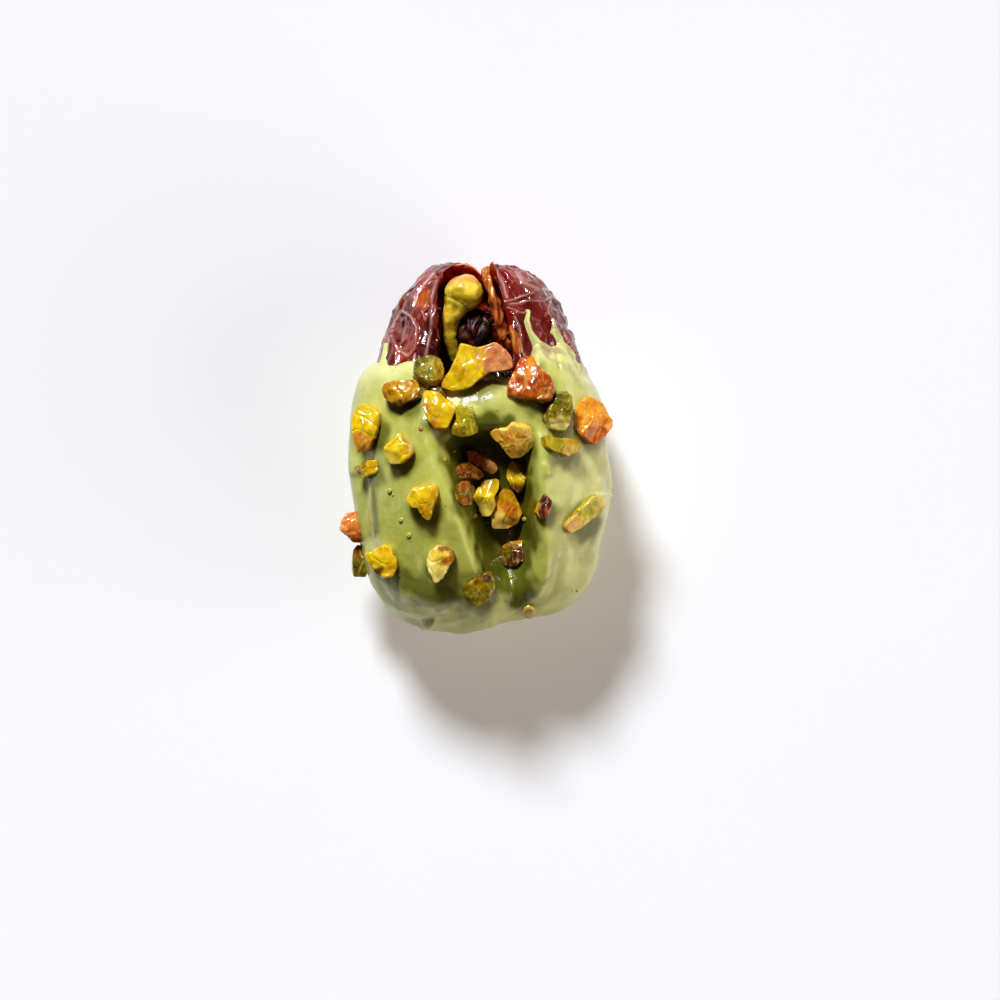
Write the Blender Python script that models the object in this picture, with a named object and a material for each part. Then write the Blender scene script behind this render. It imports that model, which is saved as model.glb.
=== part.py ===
"""Chocolate covered date: a stuffed date whose lower part is dipped in a green nut coating with chopped nuts.

The date lies along Y with its open end at +Y, its slit up, and the flat foot of the coating on Z = 0.
Shapes are worked out in millimetres and put into the meshes in metres.
"""
import bmesh
import bpy
import numpy as np

mm = 0.001

# The date without its coating
dateHeadY = 23.4
dateTailY = -20.4
dateHalfWidth = 13.97
dateTopHeight = 10.5
dateUnderHeight = 10.3
dateCentreZ = 11.9
sectionPower = 2.35
tailSlope = 0.185
tailSag = 0.0052

# The slit in the date's open end
slitLeftX = -5.4
slitRightX = 4.1
slitDepth = 8.4
slitBlindY = 3.5
slitSquareness = 9
notchX = 0.9
notchDepth = 2.5

# The coating
coatThickness = 2.25
coatGap = 0.3
coatRimY = 10.3
beadHeight = 0.55

# The dent where the coating sags into the slit, under its bridge
dentDepth = 5.8
dentFall = 2.0
dentRoom = 1.8
dentFade = 7.0
dentRightX = 6.2
dentTopY = 2.8

# Moves the whole part so that its box is centred over the origin
shiftX = 0.468
shiftY = 0.193

coatGreen = (0.56, 0.55, 0.19)
dateRed = (0.19, 0.02, 0.012)
kernelYellow = (0.58, 0.42, 0.06)
skinPurple = (0.05, 0.012, 0.014)
nutYellow = (0.75, 0.42, 0.03)
nutOrange = (0.60, 0.20, 0.04)

# Chopped nuts: x, y, height in mm, how upright, then the outline in plan about that point, in steps of 1/8 mm
outlineStep = 0.125
bigNuts = {
    "nut_slab": (
        (-0.8, 9.8, 3.2, 0.9),
        (
            (-12, 23), (4, 19), (15, 21), (22, 24), (32, 17), (38, 8), (40, 1), (39, -3), (26, -5), (17, -5),
            (9, -11), (-1, -20), (-10, -22), (-21, -24), (-32, -20), (-26, -8), (-17, 8),
        ),
    ),
    "nut_orange": (
        (6.3, 8.0, 3.8, 0.5),
        (
            (-14, 12), (-10, 20), (-2, 23), (4, 22), (7, 14), (21, 2), (24, -8), (21, -19), (13, -21),
            (-1, -19),
            (-24, -16), (-21, -4),
        ),
    ),
    "nut_salmon": (
        (13.8, 3.1, 3.8, 0.7),
        (
            (-19, 6), (-14, 17), (-5, 25), (4, 23), (12, 15), (20, 1), (19, -6), (14, -13), (7, -21),
            (0, -23),
            (-12, -14), (-21, -4),
        ),
    ),
    "nut_tan": (
        (4.2, 1.2, 3.8, 0.5),
        (
            (-24, 7), (-18, 11), (-7, 13), (-2, 18), (7, 16), (16, 13), (19, 7), (21, -3), (14, -11),
            (6, -17),
            (-3, -17), (-8, -11), (-14, -2), (-21, 3),
        ),
    ),
    "nut_flank": (
        (-13.8, 2.4, 4.2, 0.7),
        (
            (-13, 8), (-11, 17), (-2, 23), (8, 19), (14, 14), (14, 3), (10, -10), (4, -21), (-7, -26),
            (-11, -13),
            (-13, -2),
        ),
    ),
}
smallNuts = (
    (
        (-6.3, 9.1, 3.6, 0.3),
        (
            (-13, 10), (-3, 14), (6, 13), (12, 10), (15, 1), (14, -9), (8, -14), (-1, -14), (-9, -9),
            (-15, -3),
        ),
    ),
    (
        (-9.4, 6.5, 3.4, 0.4),
        (
            (-19, 3), (-16, 9), (-6, 12), (14, 13), (18, 6), (18, -3), (14, -6), (-3, -14), (-16, -6),
        ),
    ),
    (
        (-4.9, 4.4, 3.8, 0.4),
        (
            (-16, 17), (-12, 19), (0, 17), (7, 11), (17, 2), (16, -4), (9, -18), (-4, -18), (-11, -10),
            (-15, 1),
        ),
    ),
    ((-5.2, 6.8, 1.6, 0.3), ((-9, 4), (0, 5), (5, 2), (10, -7), (-1, -2))),
    (
        (-1.6, 3.1, 3.6, 0.4),
        (
            (-11, 13), (-2, 14), (6, 12), (9, 1), (13, -9), (6, -12), (-4, -14), (-13, -11), (-13, -4),
            (-9, 4),
        ),
    ),
    (
        (9.7, 4.2, 3.6, 0.4),
        (
            (-9, 8), (-3, 17), (7, 21), (11, 15), (12, 3), (9, -13), (4, -19), (-8, -17), (-15, -8),
            (-12, 3),
        ),
    ),
    (
        (10.0, 0.2, 2.4, 0.3),
        (
            (-18, 9), (-14, 11), (-5, 6), (6, 7), (17, 4), (18, -2), (14, -7), (5, -12), (-6, -8),
            (-15, -2),
        ),
    ),
    (
        (-9.7, -0.5, 4.0, 0.6),
        (
            (-14, 4), (-6, 10), (1, 18), (6, 8), (12, 5), (14, -1), (9, -8), (1, -14), (-8, -13), (-13, -5),
        ),
    ),
    ((-13.5, -2.6, 2.0, 0.5), ((-15, 0), (-7, 4), (2, 8), (10, 7), (13, 1), (8, -6), (0, -8), (-6, -11))),
    (
        (-6.7, -6.7, 4.0, 0.7),
        (
            (-18, 1), (-10, 14), (-1, 15), (13, 16), (14, 7), (10, -4), (5, -20), (0, -17), (-5, -7),
            (-12, -6),
        ),
    ),
    (
        (-11.9, -14.1, 4.4, 0.8),
        (
            (-17, 7), (-7, 11), (4, 16), (10, 12), (15, 2), (15, -7), (11, -16), (2, -17), (-5, -13),
            (-11, -3),
        ),
    ),
    (
        (-5.2, -14.2, 3.8, 0.7),
        (
            (-10, 3), (-7, 10), (2, 17), (11, 15), (18, 10), (18, 3), (13, -3), (6, -16), (-2, -21),
            (-9, -5),
        ),
    ),
    (
        (0.0, -17.5, 3.2, 0.6),
        (
            (-17, -3), (-12, 6), (-2, 12), (9, 19), (13, 13), (15, 2), (8, -9), (-3, -18), (-9, -12),
        ),
    ),
    (
        (4.2, -13.4, 2.8, 0.4),
        (
            (-16, -4), (-8, 6), (1, 13), (12, 14), (13, 4), (16, -6), (7, -12), (-3, -13), (-10, -8),
        ),
    ),
    (
        (0.1, -1.6, 3.0, 0.5),
        (
            (-16, 9), (-7, 10), (4, 4), (13, -2), (18, -8), (13, -14), (4, -10), (-4, -4), (-11, 0),
        ),
    ),
    ((-1.7, -3.3, 3.0, 0.5), ((-16, -1), (-11, 6), (0, 11), (7, 6), (17, -2), (11, -7), (0, -6), (-11, -7))),
    ((-2.2, -5.9, 2.2, 0.4), ((-11, -2), (-6, 3), (-5, 10), (2, 12), (10, 6), (8, -3), (7, -12), (-2, -12))),
    (
        (0.6, -6.3, 4.0, 0.6),
        (
            (-12, -1), (-7, 11), (-1, 18), (13, 18), (13, 10), (8, 1), (10, -8), (4, -18), (-3, -18),
            (-8, -8),
        ),
    ),
    (
        (3.4, -7.8, 4.0, 0.6),
        (
            (-14, 11), (-4, 21), (6, 18), (12, 6), (16, -2), (11, -13), (0, -18), (-15, -18), (-16, -7),
            (-11, 4),
        ),
    ),
    ((4.9, -3.8, 3.2, 0.5), ((-9, 1), (-8, 12), (-5, 17), (4, 9), (10, -1), (7, -10), (2, -16), (-4, -10))),
    ((8.0, -7.4, 1.8, 0.3), ((-9, -6), (-6, 2), (1, 12), (6, 6), (6, -3), (2, -9), (-5, -12))),
    (
        (12.9, -8.4, 2.2, 0.4),
        (
            (-21, -11), (-13, -2), (-2, 10), (9, 19), (18, 19), (20, 12), (16, 3), (4, -6), (-6, -14),
            (-16, -19),
        ),
    ),
)
# Two more stick out of the left flank, the same but for the height of their middle in place of how upright
flankNuts = (
    (
        (-16.0, -10.1, 2.8, 12.2),
        (
            (-11, 8), (-5, 15), (5, 16), (10, 9), (11, -6), (8, -15), (1, -14), (-6, -8), (-12, -2),
        ),
    ),
    (
        (-15.0, -14.4, 2.4, 11.0),
        (
            (-6, 12), (-1, 18), (1, 14), (5, 3), (7, -6), (6, -15), (-6, -15), (-7, -1),
        ),
    ),
)
nutSink = 0.3
nutSquareness = 5.0
nutFacets = 3
slabLift = 2.9
nutRoom = 0.36

# The kernels in the slit: their half axes and middles
capAxes = (2.35, 2.15, 2.1)
capCentre = (-1.85, 19.2, 17.0)
skinAxes = (2.25, 2.9, 1.8)
skinCentre = (-0.6, 14.3, 15.15)

# Drips of the coating's rim on the right cheek: their paths in plan, and their radius from base to tip
dripRadii = (1.05, 0.8, 0.65, 0.5)
drips = (
    ((7.7, 11.9), (6.4, 14.1), (5.7, 15.7), (6.3, 17.2)),
    ((10.1, 11.9), (9.7, 13.4), (9.4, 14.6), (9.2, 15.9)),
)
coatRows = 42
coatRound = 52


def smooth(edge0, edge1, value):
    """0 below edge0, 1 above edge1, and an S-curve between."""
    t = np.clip((value - edge0) / (edge1 - edge0), 0.0, 1.0)
    return t * t * (3.0 - 2.0 * t)


def waves(x, y, z, length, seed, count=14):
    """A seeded sum of sine waves of about that length, in mm, from -1 to 1."""
    rng = np.random.RandomState(seed)
    total = np.zeros_like(x)
    for _ in range(count):
        way = rng.normal(size=3)
        way *= 2.0 * np.pi / (length * np.linalg.norm(way) * rng.uniform(0.7, 1.4))
        total += np.sin(way[0] * x + way[1] * y + way[2] * z + rng.uniform(0, 2.0 * np.pi))
    return total / np.sqrt(count)


def endShare(y, headPower, tailPower):
    """How full the date is at y, from 1 amidships to 0 at each tip: a superellipse for each end."""
    s = np.where(y > 0, y / dateHeadY, y / dateTailY)
    blunt = np.where(y > 0, 1.95, 2.2)
    return (1.0 - np.clip(s, 0.0, 1.0) ** blunt) ** (1.0 / np.where(y > 0, headPower, tailPower))


def hull(y, angle):
    """The smooth date at y, at an angle round from straight up towards +X, in polar superellipse sections."""
    right = np.sin(angle) > 0
    wide = dateHalfWidth * endShare(y, np.where(right, 2.6, 2.75), np.where(right, 6.0, 2.6))
    high = np.where(np.cos(angle) > 0, dateTopHeight, dateUnderHeight) * endShare(y, 3.6, 2.9)
    wide, high = np.maximum(wide, 1e-6), np.maximum(high, 1e-6)
    r = (np.abs(np.sin(angle) / wide) ** sectionPower + np.abs(np.cos(angle) / high) ** sectionPower)
    r = r ** (-1.0 / sectionPower)
    return r * np.sin(angle), dateCentreZ + r * np.cos(angle)


def hullTop(x, y):
    """The height of the smooth date's upper side over x, y."""
    wide = dateHalfWidth * endShare(y, np.where(x > 0, 2.6, 2.75), np.where(x > 0, 6.0, 2.6))
    high = dateTopHeight * endShare(y, 3.6, 2.9)
    s = np.clip(np.abs(x) / np.maximum(wide, 1e-6), 0.0, 1.0)
    return dateCentreZ + high * (1.0 - s**sectionPower) ** (1.0 / sectionPower)


def dent(x, y, wider=0.0):
    """How far the upper side sags: a trench along the slit that deepens to the tail and runs out there."""
    left = -4.7 - 0.34 * y - wider
    right = dentRightX + wider
    soften = smooth(-5.0, -15.0, y)
    across = smooth(left - 1.0, left + 3.2, x) * smooth(right + 0.5 + soften, right - 1.7 - 1.5 * soften, x)
    along = smooth(dentTopY + wider, dentTopY + wider - 3.2, y) * dentDepth
    runOut = dentDepth * smooth(-11.0 - wider, -19.8 - wider, y)
    return across * (along + dentFall * smooth(-3.0, -12.0, y) - runOut)


def notched(x, y, z):
    """y with the notch at the open end: gentle on its left, sheer on its right, a broad dip lower down."""
    sharp = np.where(x < notchX, 1.0 - (notchX - x) / 2.4, 1.0 - (x - notchX) / 0.5)
    broad = 1.0 - np.abs(x - notchX) / 5.0
    upper = smooth(-3.0, 3.0, z - dateCentreZ)
    shape = np.clip(sharp, 0.0, 1.0) * upper + np.clip(broad, 0.0, 1.0) * (1.0 - upper)
    return y - notchDepth * shape * smooth(15.5, 22.0, y) * smooth(-9.5, -5.0, z - dateCentreZ)


def slanted(x, y):
    """y with the tail's end cut on a slope, and drawn out a little at both its corners."""
    return y + (tailSlope * x - tailSag * x**2) * np.clip(-y / 20.0, 0.0, 1.0) ** 2


def evenStations(low, high, count, middle=None, share=0.5):
    """Values of y, evenly spaced along the date's outline, with their own share of them past middle."""
    fine = np.sin(np.linspace(-np.pi / 2, np.pi / 2, 800))
    y = np.where(fine > 0, fine * dateHeadY, -fine * dateTailY)
    x = dateHalfWidth * endShare(y, 2.6, 2.8)
    run = np.concatenate([[0.0], np.cumsum(np.hypot(np.diff(y), np.diff(x)))])
    ends = np.interp([low, high], y, run)
    if middle is None:
        steps = np.linspace(ends[0], ends[1], count)
    else:
        here = np.interp(middle, y, run)
        first = int(count * (1.0 - share))
        steps = np.concatenate(
            [np.linspace(ends[0], here, first, endpoint=False), np.linspace(here, ends[1], count - first)]
        )
    return np.interp(steps, run, y)


def normalsOf(points):
    """Outward normals of a grid of points, stations by round, closed round."""
    along = np.gradient(points, axis=0)
    around = (np.roll(points, -1, axis=1) - np.roll(points, 1, axis=1)) / 2.0
    n = np.cross(around, along)
    length = np.linalg.norm(n, axis=2, keepdims=True)
    n = np.where(length > 1e-9, n / np.maximum(length, 1e-9), 0.0)
    n[0] = (0.0, -1.0, 0.0)
    n[-1] = (0.0, 1.0, 0.0)
    return n


def slitEdges(y):
    """The slit's left and right lips at y: they draw together towards the open end."""
    room = 0.72 * dateHalfWidth * endShare(y, 2.6, 2.8)
    left = slitLeftX + 0.9 * smooth(18.5, 23.0, y)
    right = slitRightX - 2.2 * smooth(12.5, 23.5, y)
    return np.maximum(left, -room), np.minimum(right, room)


def slitDeep(y):
    """The slit's depth at y: full amidships, with a wall at the open end and one under the coating."""
    return slitDepth * smooth(23.0, 21.2, y) * smooth(slitBlindY, slitBlindY + 4.0, y)


def skinRelief(x, y, z):
    """The date's broad folds: long lumps and creases, strongest on the open end."""
    lumps = waves(x, y * 0.45, z, 5.0, 3) * 0.22
    creases = -0.55 * np.exp(-((waves(x, y * 0.4, z, 7.0, 8)) ** 2) / 0.03)
    return (lumps + creases) * smooth(7.5, 10.0, y)


def dateGrid(stations, outside, inside, inflate=0.0, slit=True):
    """The date as a grid: each section runs round below from lip to lip, then down the slit."""
    y = stations[:, None]
    left, right = slitEdges(y)
    leftAngle = np.arctan2(left, hullTop(left, y) - dateCentreZ)
    rightAngle = np.arctan2(right, hullTop(right, y) - dateCentreZ)
    t = np.linspace(0.0, 1.0, outside)[None, :]
    angle = rightAngle + t * (2.0 * np.pi + leftAngle - rightAngle)
    x1, z1 = hull(y, angle)
    v = (1.0 - np.cos(np.pi * np.arange(1, inside) / inside))[None, :] / 2.0
    x2 = left + v * (right - left)
    z2 = hullTop(x2, y)
    x, z = np.hstack([x1, x2]), np.hstack([z1, z2])
    full = np.broadcast_to(y, x.shape)
    z = z - dent(x, full, wider=dentRoom) * smooth(0.0, dentFade, z - dateCentreZ)
    points = np.stack([x, slanted(x, notched(x, full, z)), z], axis=2)
    n = normalsOf(points)
    points = points + n * (inflate + skinRelief(x, full, z))[..., None]
    if slit:
        wall = (1.0 - np.abs(2.0 * v - 1.0) ** slitSquareness) * slitDeep(y)
        points[:, outside:, 2] -= wall
    points[0] = points[0].mean(axis=0)
    points[-1] = points[-1].mean(axis=0)
    return points


def pathDistance(x, y, path):
    """The distance from x, y to a path of points in plan."""
    best = np.full(x.shape, 1e9)
    for a, b in zip(path[:-1], path[1:]):
        dx, dy = b[0] - a[0], b[1] - a[1]
        t = np.clip(((x - a[0]) * dx + (y - a[1]) * dy) / (dx**2 + dy**2), 0.0, 1.0)
        best = np.minimum(best, np.hypot(x - a[0] - t * dx, y - a[1] - t * dy))
    return best


def rimLine(x, upper):
    """The y where the coating ends: lower over the slit, higher on the right cheek, level underneath."""
    overSlit = -1.8 * smooth(-6.2, -4.6, x) * smooth(6.4, 4.6, x)
    cheek = 2.3 * smooth(5.8, 7.0, x) * smooth(12.6, 9.6, x)
    return coatRimY + 0.25 * np.sin(1.3 * x) + (overSlit + cheek) * upper


def coatThick(x, y, z):
    """The coating's thickness: a bead at its rim, then fuller, and below the date's skin past the rim."""
    upper = smooth(0.0, 3.0, z - dateCentreZ)
    inside = rimLine(x, upper) - y
    bead = beadHeight * np.sqrt(1.0 - (1.0 - np.clip(inside / 0.5, 0.0, 1.0)) ** 2)
    thin = 0.2 + 1.5 * smooth(9.0, 13.0, x)
    body = (coatThickness - beadHeight) * (1.0 - np.exp(-np.maximum(inside - thin, 0.0) / 2.2))
    bridge = 0.9 * np.exp(-((x - 2.2) ** 2) / 14.0 - (y - 5.6) ** 2 / 6.0) * upper * smooth(0.0, 1.5, inside)
    under = 0.35 * smooth(0.0, -4.0, z - dateCentreZ) * smooth(0.0, 2.0, inside)
    past = np.clip(inside, -1.2, 0.0)
    lumps = 0.22 * waves(x, y, z, 9.0, 21) * smooth(0.5, 3.0, inside)
    return bead + body + bridge + under + past + lumps


def coatRidges(x, y, z):
    """Ridges beside the dent and grooves down the flanks, in mm of height."""
    upper = smooth(1.0, 5.0, z - dateCentreZ)
    leftRidge = pathDistance(x, y, ((-6.6, 2.4), (-4.6, -4.9), (-2.4, -9.3), (-1.0, -14.0)))
    rightRidge = pathDistance(x, y, ((7.8, 1.0), (7.4, -8.0), (8.0, -12.6), (6.8, -17.2)))
    leftGroove = pathDistance(x, y, ((-13.1, 0.8), (-12.8, -6.0), (-12.2, -11.0)))
    hollow = np.exp(-((x - 11.0) ** 2) / 8.0 - (y + 12.5) ** 2 / 14.0)
    return upper * (
        0.7 * np.exp(-(leftRidge**2) / 3.0)
        + 0.6 * np.exp(-(rightRidge**2) / 1.6)
        - 0.9 * np.exp(-(leftGroove**2) / 0.8)
        - 0.5 * hollow
    )


def coatGrid(stations, round_):
    """The coating's outside as a grid, closed at both ends, with its foot flat on Z = 0."""
    y = stations[:, None]
    even = np.linspace(0.0, 2.0 * np.pi, round_, endpoint=False)[None, :]
    angle = even - 0.45 * np.sin(even)
    x, z = hull(y, angle)
    full = np.broadcast_to(y, x.shape)
    sag = dent(x, full) * smooth(0.0, dentFade, z - dateCentreZ)
    points = np.stack([x, notched(x, full, z), z], axis=2)
    thick = coatThick(x, full, z) + coatRidges(x, full, z)
    points = points + normalsOf(points) * thick[..., None]
    x, y, z = points[..., 0], points[..., 1], points[..., 2] - sag
    points = np.stack([x, slanted(x, y), np.maximum(z, 0.0)], axis=2)
    points[0] = points[0].mean(axis=0)
    points[-1] = points[-1].mean(axis=0)
    return points


def gridFaces(rows, columns):
    """Quads between the stations of a closed grid, and fans at the two tips."""
    faces = []
    for i in range(rows - 3):
        for j in range(columns):
            a, b = 1 + i * columns + j, 1 + i * columns + (j + 1) % columns
            faces.append((a, b, b + columns, a + columns))
    last = 1 + (rows - 2) * columns
    for j in range(columns):
        k = (j + 1) % columns
        faces.append((0, 1 + k, 1 + j))
        faces.append((last, last - columns + j, last - columns + k))
    return faces


def meshObject(name, vertices, faces, colour=None, helper=False):
    """A mesh object in metres, its faces turned outwards, with its own plain material."""
    mesh = bpy.data.meshes.new(name)
    shift = np.array((shiftX, shiftY, 0.0))
    mesh.from_pydata(((np.asarray(vertices) + shift) * mm).tolist(), [], faces)
    shell = bmesh.new()
    shell.from_mesh(mesh)
    bmesh.ops.recalc_face_normals(shell, faces=shell.faces)
    shell.to_mesh(mesh)
    shell.free()
    mesh.shade_smooth()
    mesh.set_sharp_from_angle(angle=np.radians(50))
    obj = bpy.data.objects.new(name, mesh)
    bpy.context.scene.collection.objects.link(obj)
    if helper:
        obj.hide_render = True
        obj.display_type = "WIRE"
    if colour:
        mesh.materials.append(plainMaterial(name, colour))
    return obj


def plainMaterial(name, colour):
    material = bpy.data.materials.new(name)
    material.use_nodes = True
    shader = material.node_tree.nodes["Principled BSDF"]
    shader.inputs["Base Color"].default_value = (*colour, 1.0)
    shader.inputs["Roughness"].default_value = 0.35
    shader.inputs["Metallic"].default_value = 0.0
    return material


def gridObject(name, points, **options):
    """A closed grid as an object: one vertex at each tip."""
    rows, columns = points.shape[:2]
    vertices = np.vstack([points[0, :1], points[1:-1].reshape(-1, 3), points[-1, :1]])
    return meshObject(name, vertices, gridFaces(rows, columns), **options)


def sweptTube(name, path, radii, sides=8, steps=12, **options):
    """A tube of changing radius along a smooth path through the given points."""
    path, radii = np.array(path, float), np.array(radii, float)
    run = np.linspace(0.0, len(path) - 1.0, steps)
    keys = np.arange(len(path))
    centre = np.stack([np.interp(run, keys, path[:, k]) for k in range(3)], axis=1)
    centre[1:-1] = (centre[:-2] + 2.0 * centre[1:-1] + centre[2:]) / 4.0
    radius = np.interp(run, keys, radii)
    way = np.gradient(centre, axis=0)
    way /= np.linalg.norm(way, axis=1, keepdims=True)
    side = np.cross(way, (0.0, 0.0, 1.0))
    side /= np.linalg.norm(side, axis=1, keepdims=True)
    up = np.cross(side, way)
    turn = np.linspace(0.0, 2.0 * np.pi, sides, endpoint=False)
    ring = side[:, None] * np.cos(turn)[None, :, None] + up[:, None] * np.sin(turn)[None, :, None]
    points = centre[:, None] + radius[:, None, None] * ring
    first = centre[:1, None] - way[:1, None] * radius[0] * 0.6 + ring[:1] * 0.0
    last = centre[-1:, None] + way[-1:, None] * radius[-1] * 0.6 + ring[-1:] * 0.0
    return gridObject(name, np.concatenate([first, points, last]), **options)


def ovoid(rows, columns, axes, centre, bumpy=0.0):
    """An ellipsoid grid of those half axes, its tips along Y, with bumps if asked."""
    fall = np.linspace(0.0, np.pi, rows)[:, None]
    turn = np.linspace(0.0, 2.0 * np.pi, columns, endpoint=False)[None, :]
    x, z = axes[0] * np.sin(fall) * np.cos(turn), axes[2] * np.sin(fall) * np.sin(turn)
    y = -axes[1] * np.cos(fall) + 0.0 * turn
    bumps = 1.0 + bumpy * waves(x, y, z, 1.6, 5)
    points = np.stack([x * bumps, y, z * bumps], axis=2) + centre
    points[0], points[-1] = points[0].mean(axis=0), points[-1].mean(axis=0)
    return points


def outlineRadius(outline, angle, grow):
    """How far the outline is from its middle at each angle."""
    corners = np.array(outline, float) * outlineStep
    corners = corners[np.argsort(np.arctan2(corners[:, 1], corners[:, 0]))]
    bearing = np.arctan2(corners[:, 1], corners[:, 0])
    at = np.searchsorted(bearing, angle, side="right") - 1
    a, b = corners[at], corners[(at + 1) % len(corners)]
    side = b - a
    return grow + (a[..., 0] * side[..., 1] - a[..., 1] * side[..., 0]) / (
        np.cos(angle) * side[..., 1] - np.sin(angle) * side[..., 0]
    )


def nutShape(outline, height, seed, falls, angles, grow=0.0):
    """A chopped nut about its middle: its outline, squarish in section, its top cut by slanting planes."""
    fall, angle = falls[:, None], angles[None, :]
    level = np.cos(fall)
    across = (1.0 - np.abs(level) ** nutSquareness) ** (1.0 / nutSquareness)
    radius = outlineRadius(outline, np.broadcast_to(angle, (1, len(angles))), grow) * across
    x, y = radius * np.cos(angle), radius * np.sin(angle)
    half = height / 2.0 + grow
    z = level * half + 0.0 * x
    rng = np.random.RandomState(seed)
    reach = np.abs(np.array(outline, float)).mean() * outlineStep * 1.5
    for turn in rng.uniform(0, 2.0 * np.pi) + np.arange(nutFacets) * 2.0 * np.pi / nutFacets:
        slope, start = rng.uniform(0.1, 0.4), rng.uniform(0.78, 1.0)
        cut = start + slope * (x * np.cos(turn) + y * np.sin(turn)) / reach
        z = np.minimum(z, half * cut + 0.35 * grow)
    z = np.maximum(z, -half)
    return x, y, z


def setOn(grid, normals, x, y, height, upright, lift=0.0):
    """The middle of a nut that is sunk into the coating's upper side at x, y, and the way it faces."""
    points, normals = grid.reshape(-1, 3), normals.reshape(-1, 3)
    gap = np.hypot(points[:, 0] - x, points[:, 1] - y) + 1e3 * (points[:, 2] < dateCentreZ)
    at = int(np.argmin(gap))
    out = normals[at]
    z = points[at, 2] - ((x - points[at, 0]) * out[0] + (y - points[at, 1]) * out[1]) / out[2]
    out = out * (1.0 - upright) + np.array((0.0, 0.0, upright))
    out /= np.linalg.norm(out)
    return np.array((x, y, z + height * (0.5 - nutSink) + lift)), out


def nutObject(name, middle, out, outline, height, seed, grow=0.0, **options):
    """A chopped nut as an object: its outline's own corners, in three rings and two tips."""
    corners = np.array(outline, float)
    angles = np.sort(np.arctan2(corners[:, 1], corners[:, 0]))
    falls = np.radians((0.0, 42.0, 90.0, 138.0, 180.0))
    x, y, z = nutShape(outline, height, seed, falls, angles, grow)
    z = np.where(np.arange(len(falls))[:, None] == 0, z.min(axis=1, keepdims=True), z)
    level = -(out[0] * x + out[1] * y) / out[2]
    points = middle + np.stack([x, y, level], axis=2) + z[..., None] * out
    points[0], points[-1] = points[0].mean(axis=0), points[-1].mean(axis=0)
    return gridObject(name, points, **options)


def applyModifiers(obj):
    """The object with its modifiers made into its mesh."""
    graph = bpy.context.evaluated_depsgraph_get()
    done = bpy.data.meshes.new_from_object(obj.evaluated_get(graph))
    obj.modifiers.clear()
    obj.data = done


def booleanOn(obj, operation, other=None, collection=None, solver="EXACT"):
    modifier = obj.modifiers.new(operation.lower(), "BOOLEAN")
    modifier.operation = operation
    modifier.solver = solver
    if collection:
        modifier.operand_type = "COLLECTION"
        modifier.collection = collection
    else:
        modifier.object = other
    applyModifiers(obj)


def keepLargest(obj):
    """Drops the loose scraps that a cut leaves, keeping the largest body."""
    shell = bmesh.new()
    shell.from_mesh(obj.data)
    bmesh.ops.remove_doubles(shell, verts=shell.verts, dist=2e-6)
    left, bodies = set(shell.verts), []
    while left:
        front, body = [left.pop()], []
        while front:
            v = front.pop()
            body.append(v)
            near = [e.other_vert(v) for e in v.link_edges if e.other_vert(v) in left]
            left.difference_update(near)
            front.extend(near)
        bodies.append(body)
    bodies.sort(key=len)
    bmesh.ops.delete(shell, geom=[v for body in bodies[:-1] for v in body], context="VERTS")
    shell.to_mesh(obj.data)
    shell.free()


def clearScene():
    for obj in list(bpy.data.objects):
        bpy.data.objects.remove(obj)


def buildDate():
    """The date: its body with the slit, and the strand of fibre that runs down the slit's right wall."""
    stations = evenStations(dateTailY, dateHeadY, 32, middle=8.0, share=0.64)
    date = gridObject("date", dateGrid(stations, 38, 16), colour=dateRed)
    strand = sweptTube(
        "strand",
        (
            (0.7, 22.0, 16.6), (1.1, 20.5, 18.2), (1.8, 18.4, 18.6), (2.3, 15.9, 18.2), (3.0, 13.4, 17.2),
            (4.4, 11.8, 16.0),
        ),
        (0.5, 0.5, 0.6, 0.65, 0.6, 0.5),
        sides=6,
        steps=9,
        helper=True,
    )
    booleanOn(date, "UNION", strand)
    bpy.data.objects.remove(strand)
    keepLargest(date)
    cutter = gridObject("date_room", dateGrid(stations, 38, 16, inflate=coatGap, slit=False), helper=True)
    return date, cutter


def buildKernels():
    """The stuffing in the slit: a hooked half kernel and, in its hollow, a kernel in its dark skin."""
    kernel = gridObject("kernel_half", ovoid(11, 14, capAxes, capCentre), colour=kernelYellow)
    arm = sweptTube(
        "kernel_arm",
        ((-3.0, 10.9, 14.8), (-3.7, 13.6, 15.6), (-3.6, 16.2, 16.4), (-2.9, 18.2, 17.0)),
        (0.55, 0.65, 0.95, 1.2),
        sides=12,
        steps=11,
        helper=True,
    )
    booleanOn(kernel, "UNION", arm)
    bpy.data.objects.remove(arm)
    keepLargest(kernel)
    gridObject("kernel_in_skin", ovoid(11, 12, skinAxes, skinCentre, bumpy=0.07), colour=skinPurple)


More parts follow.
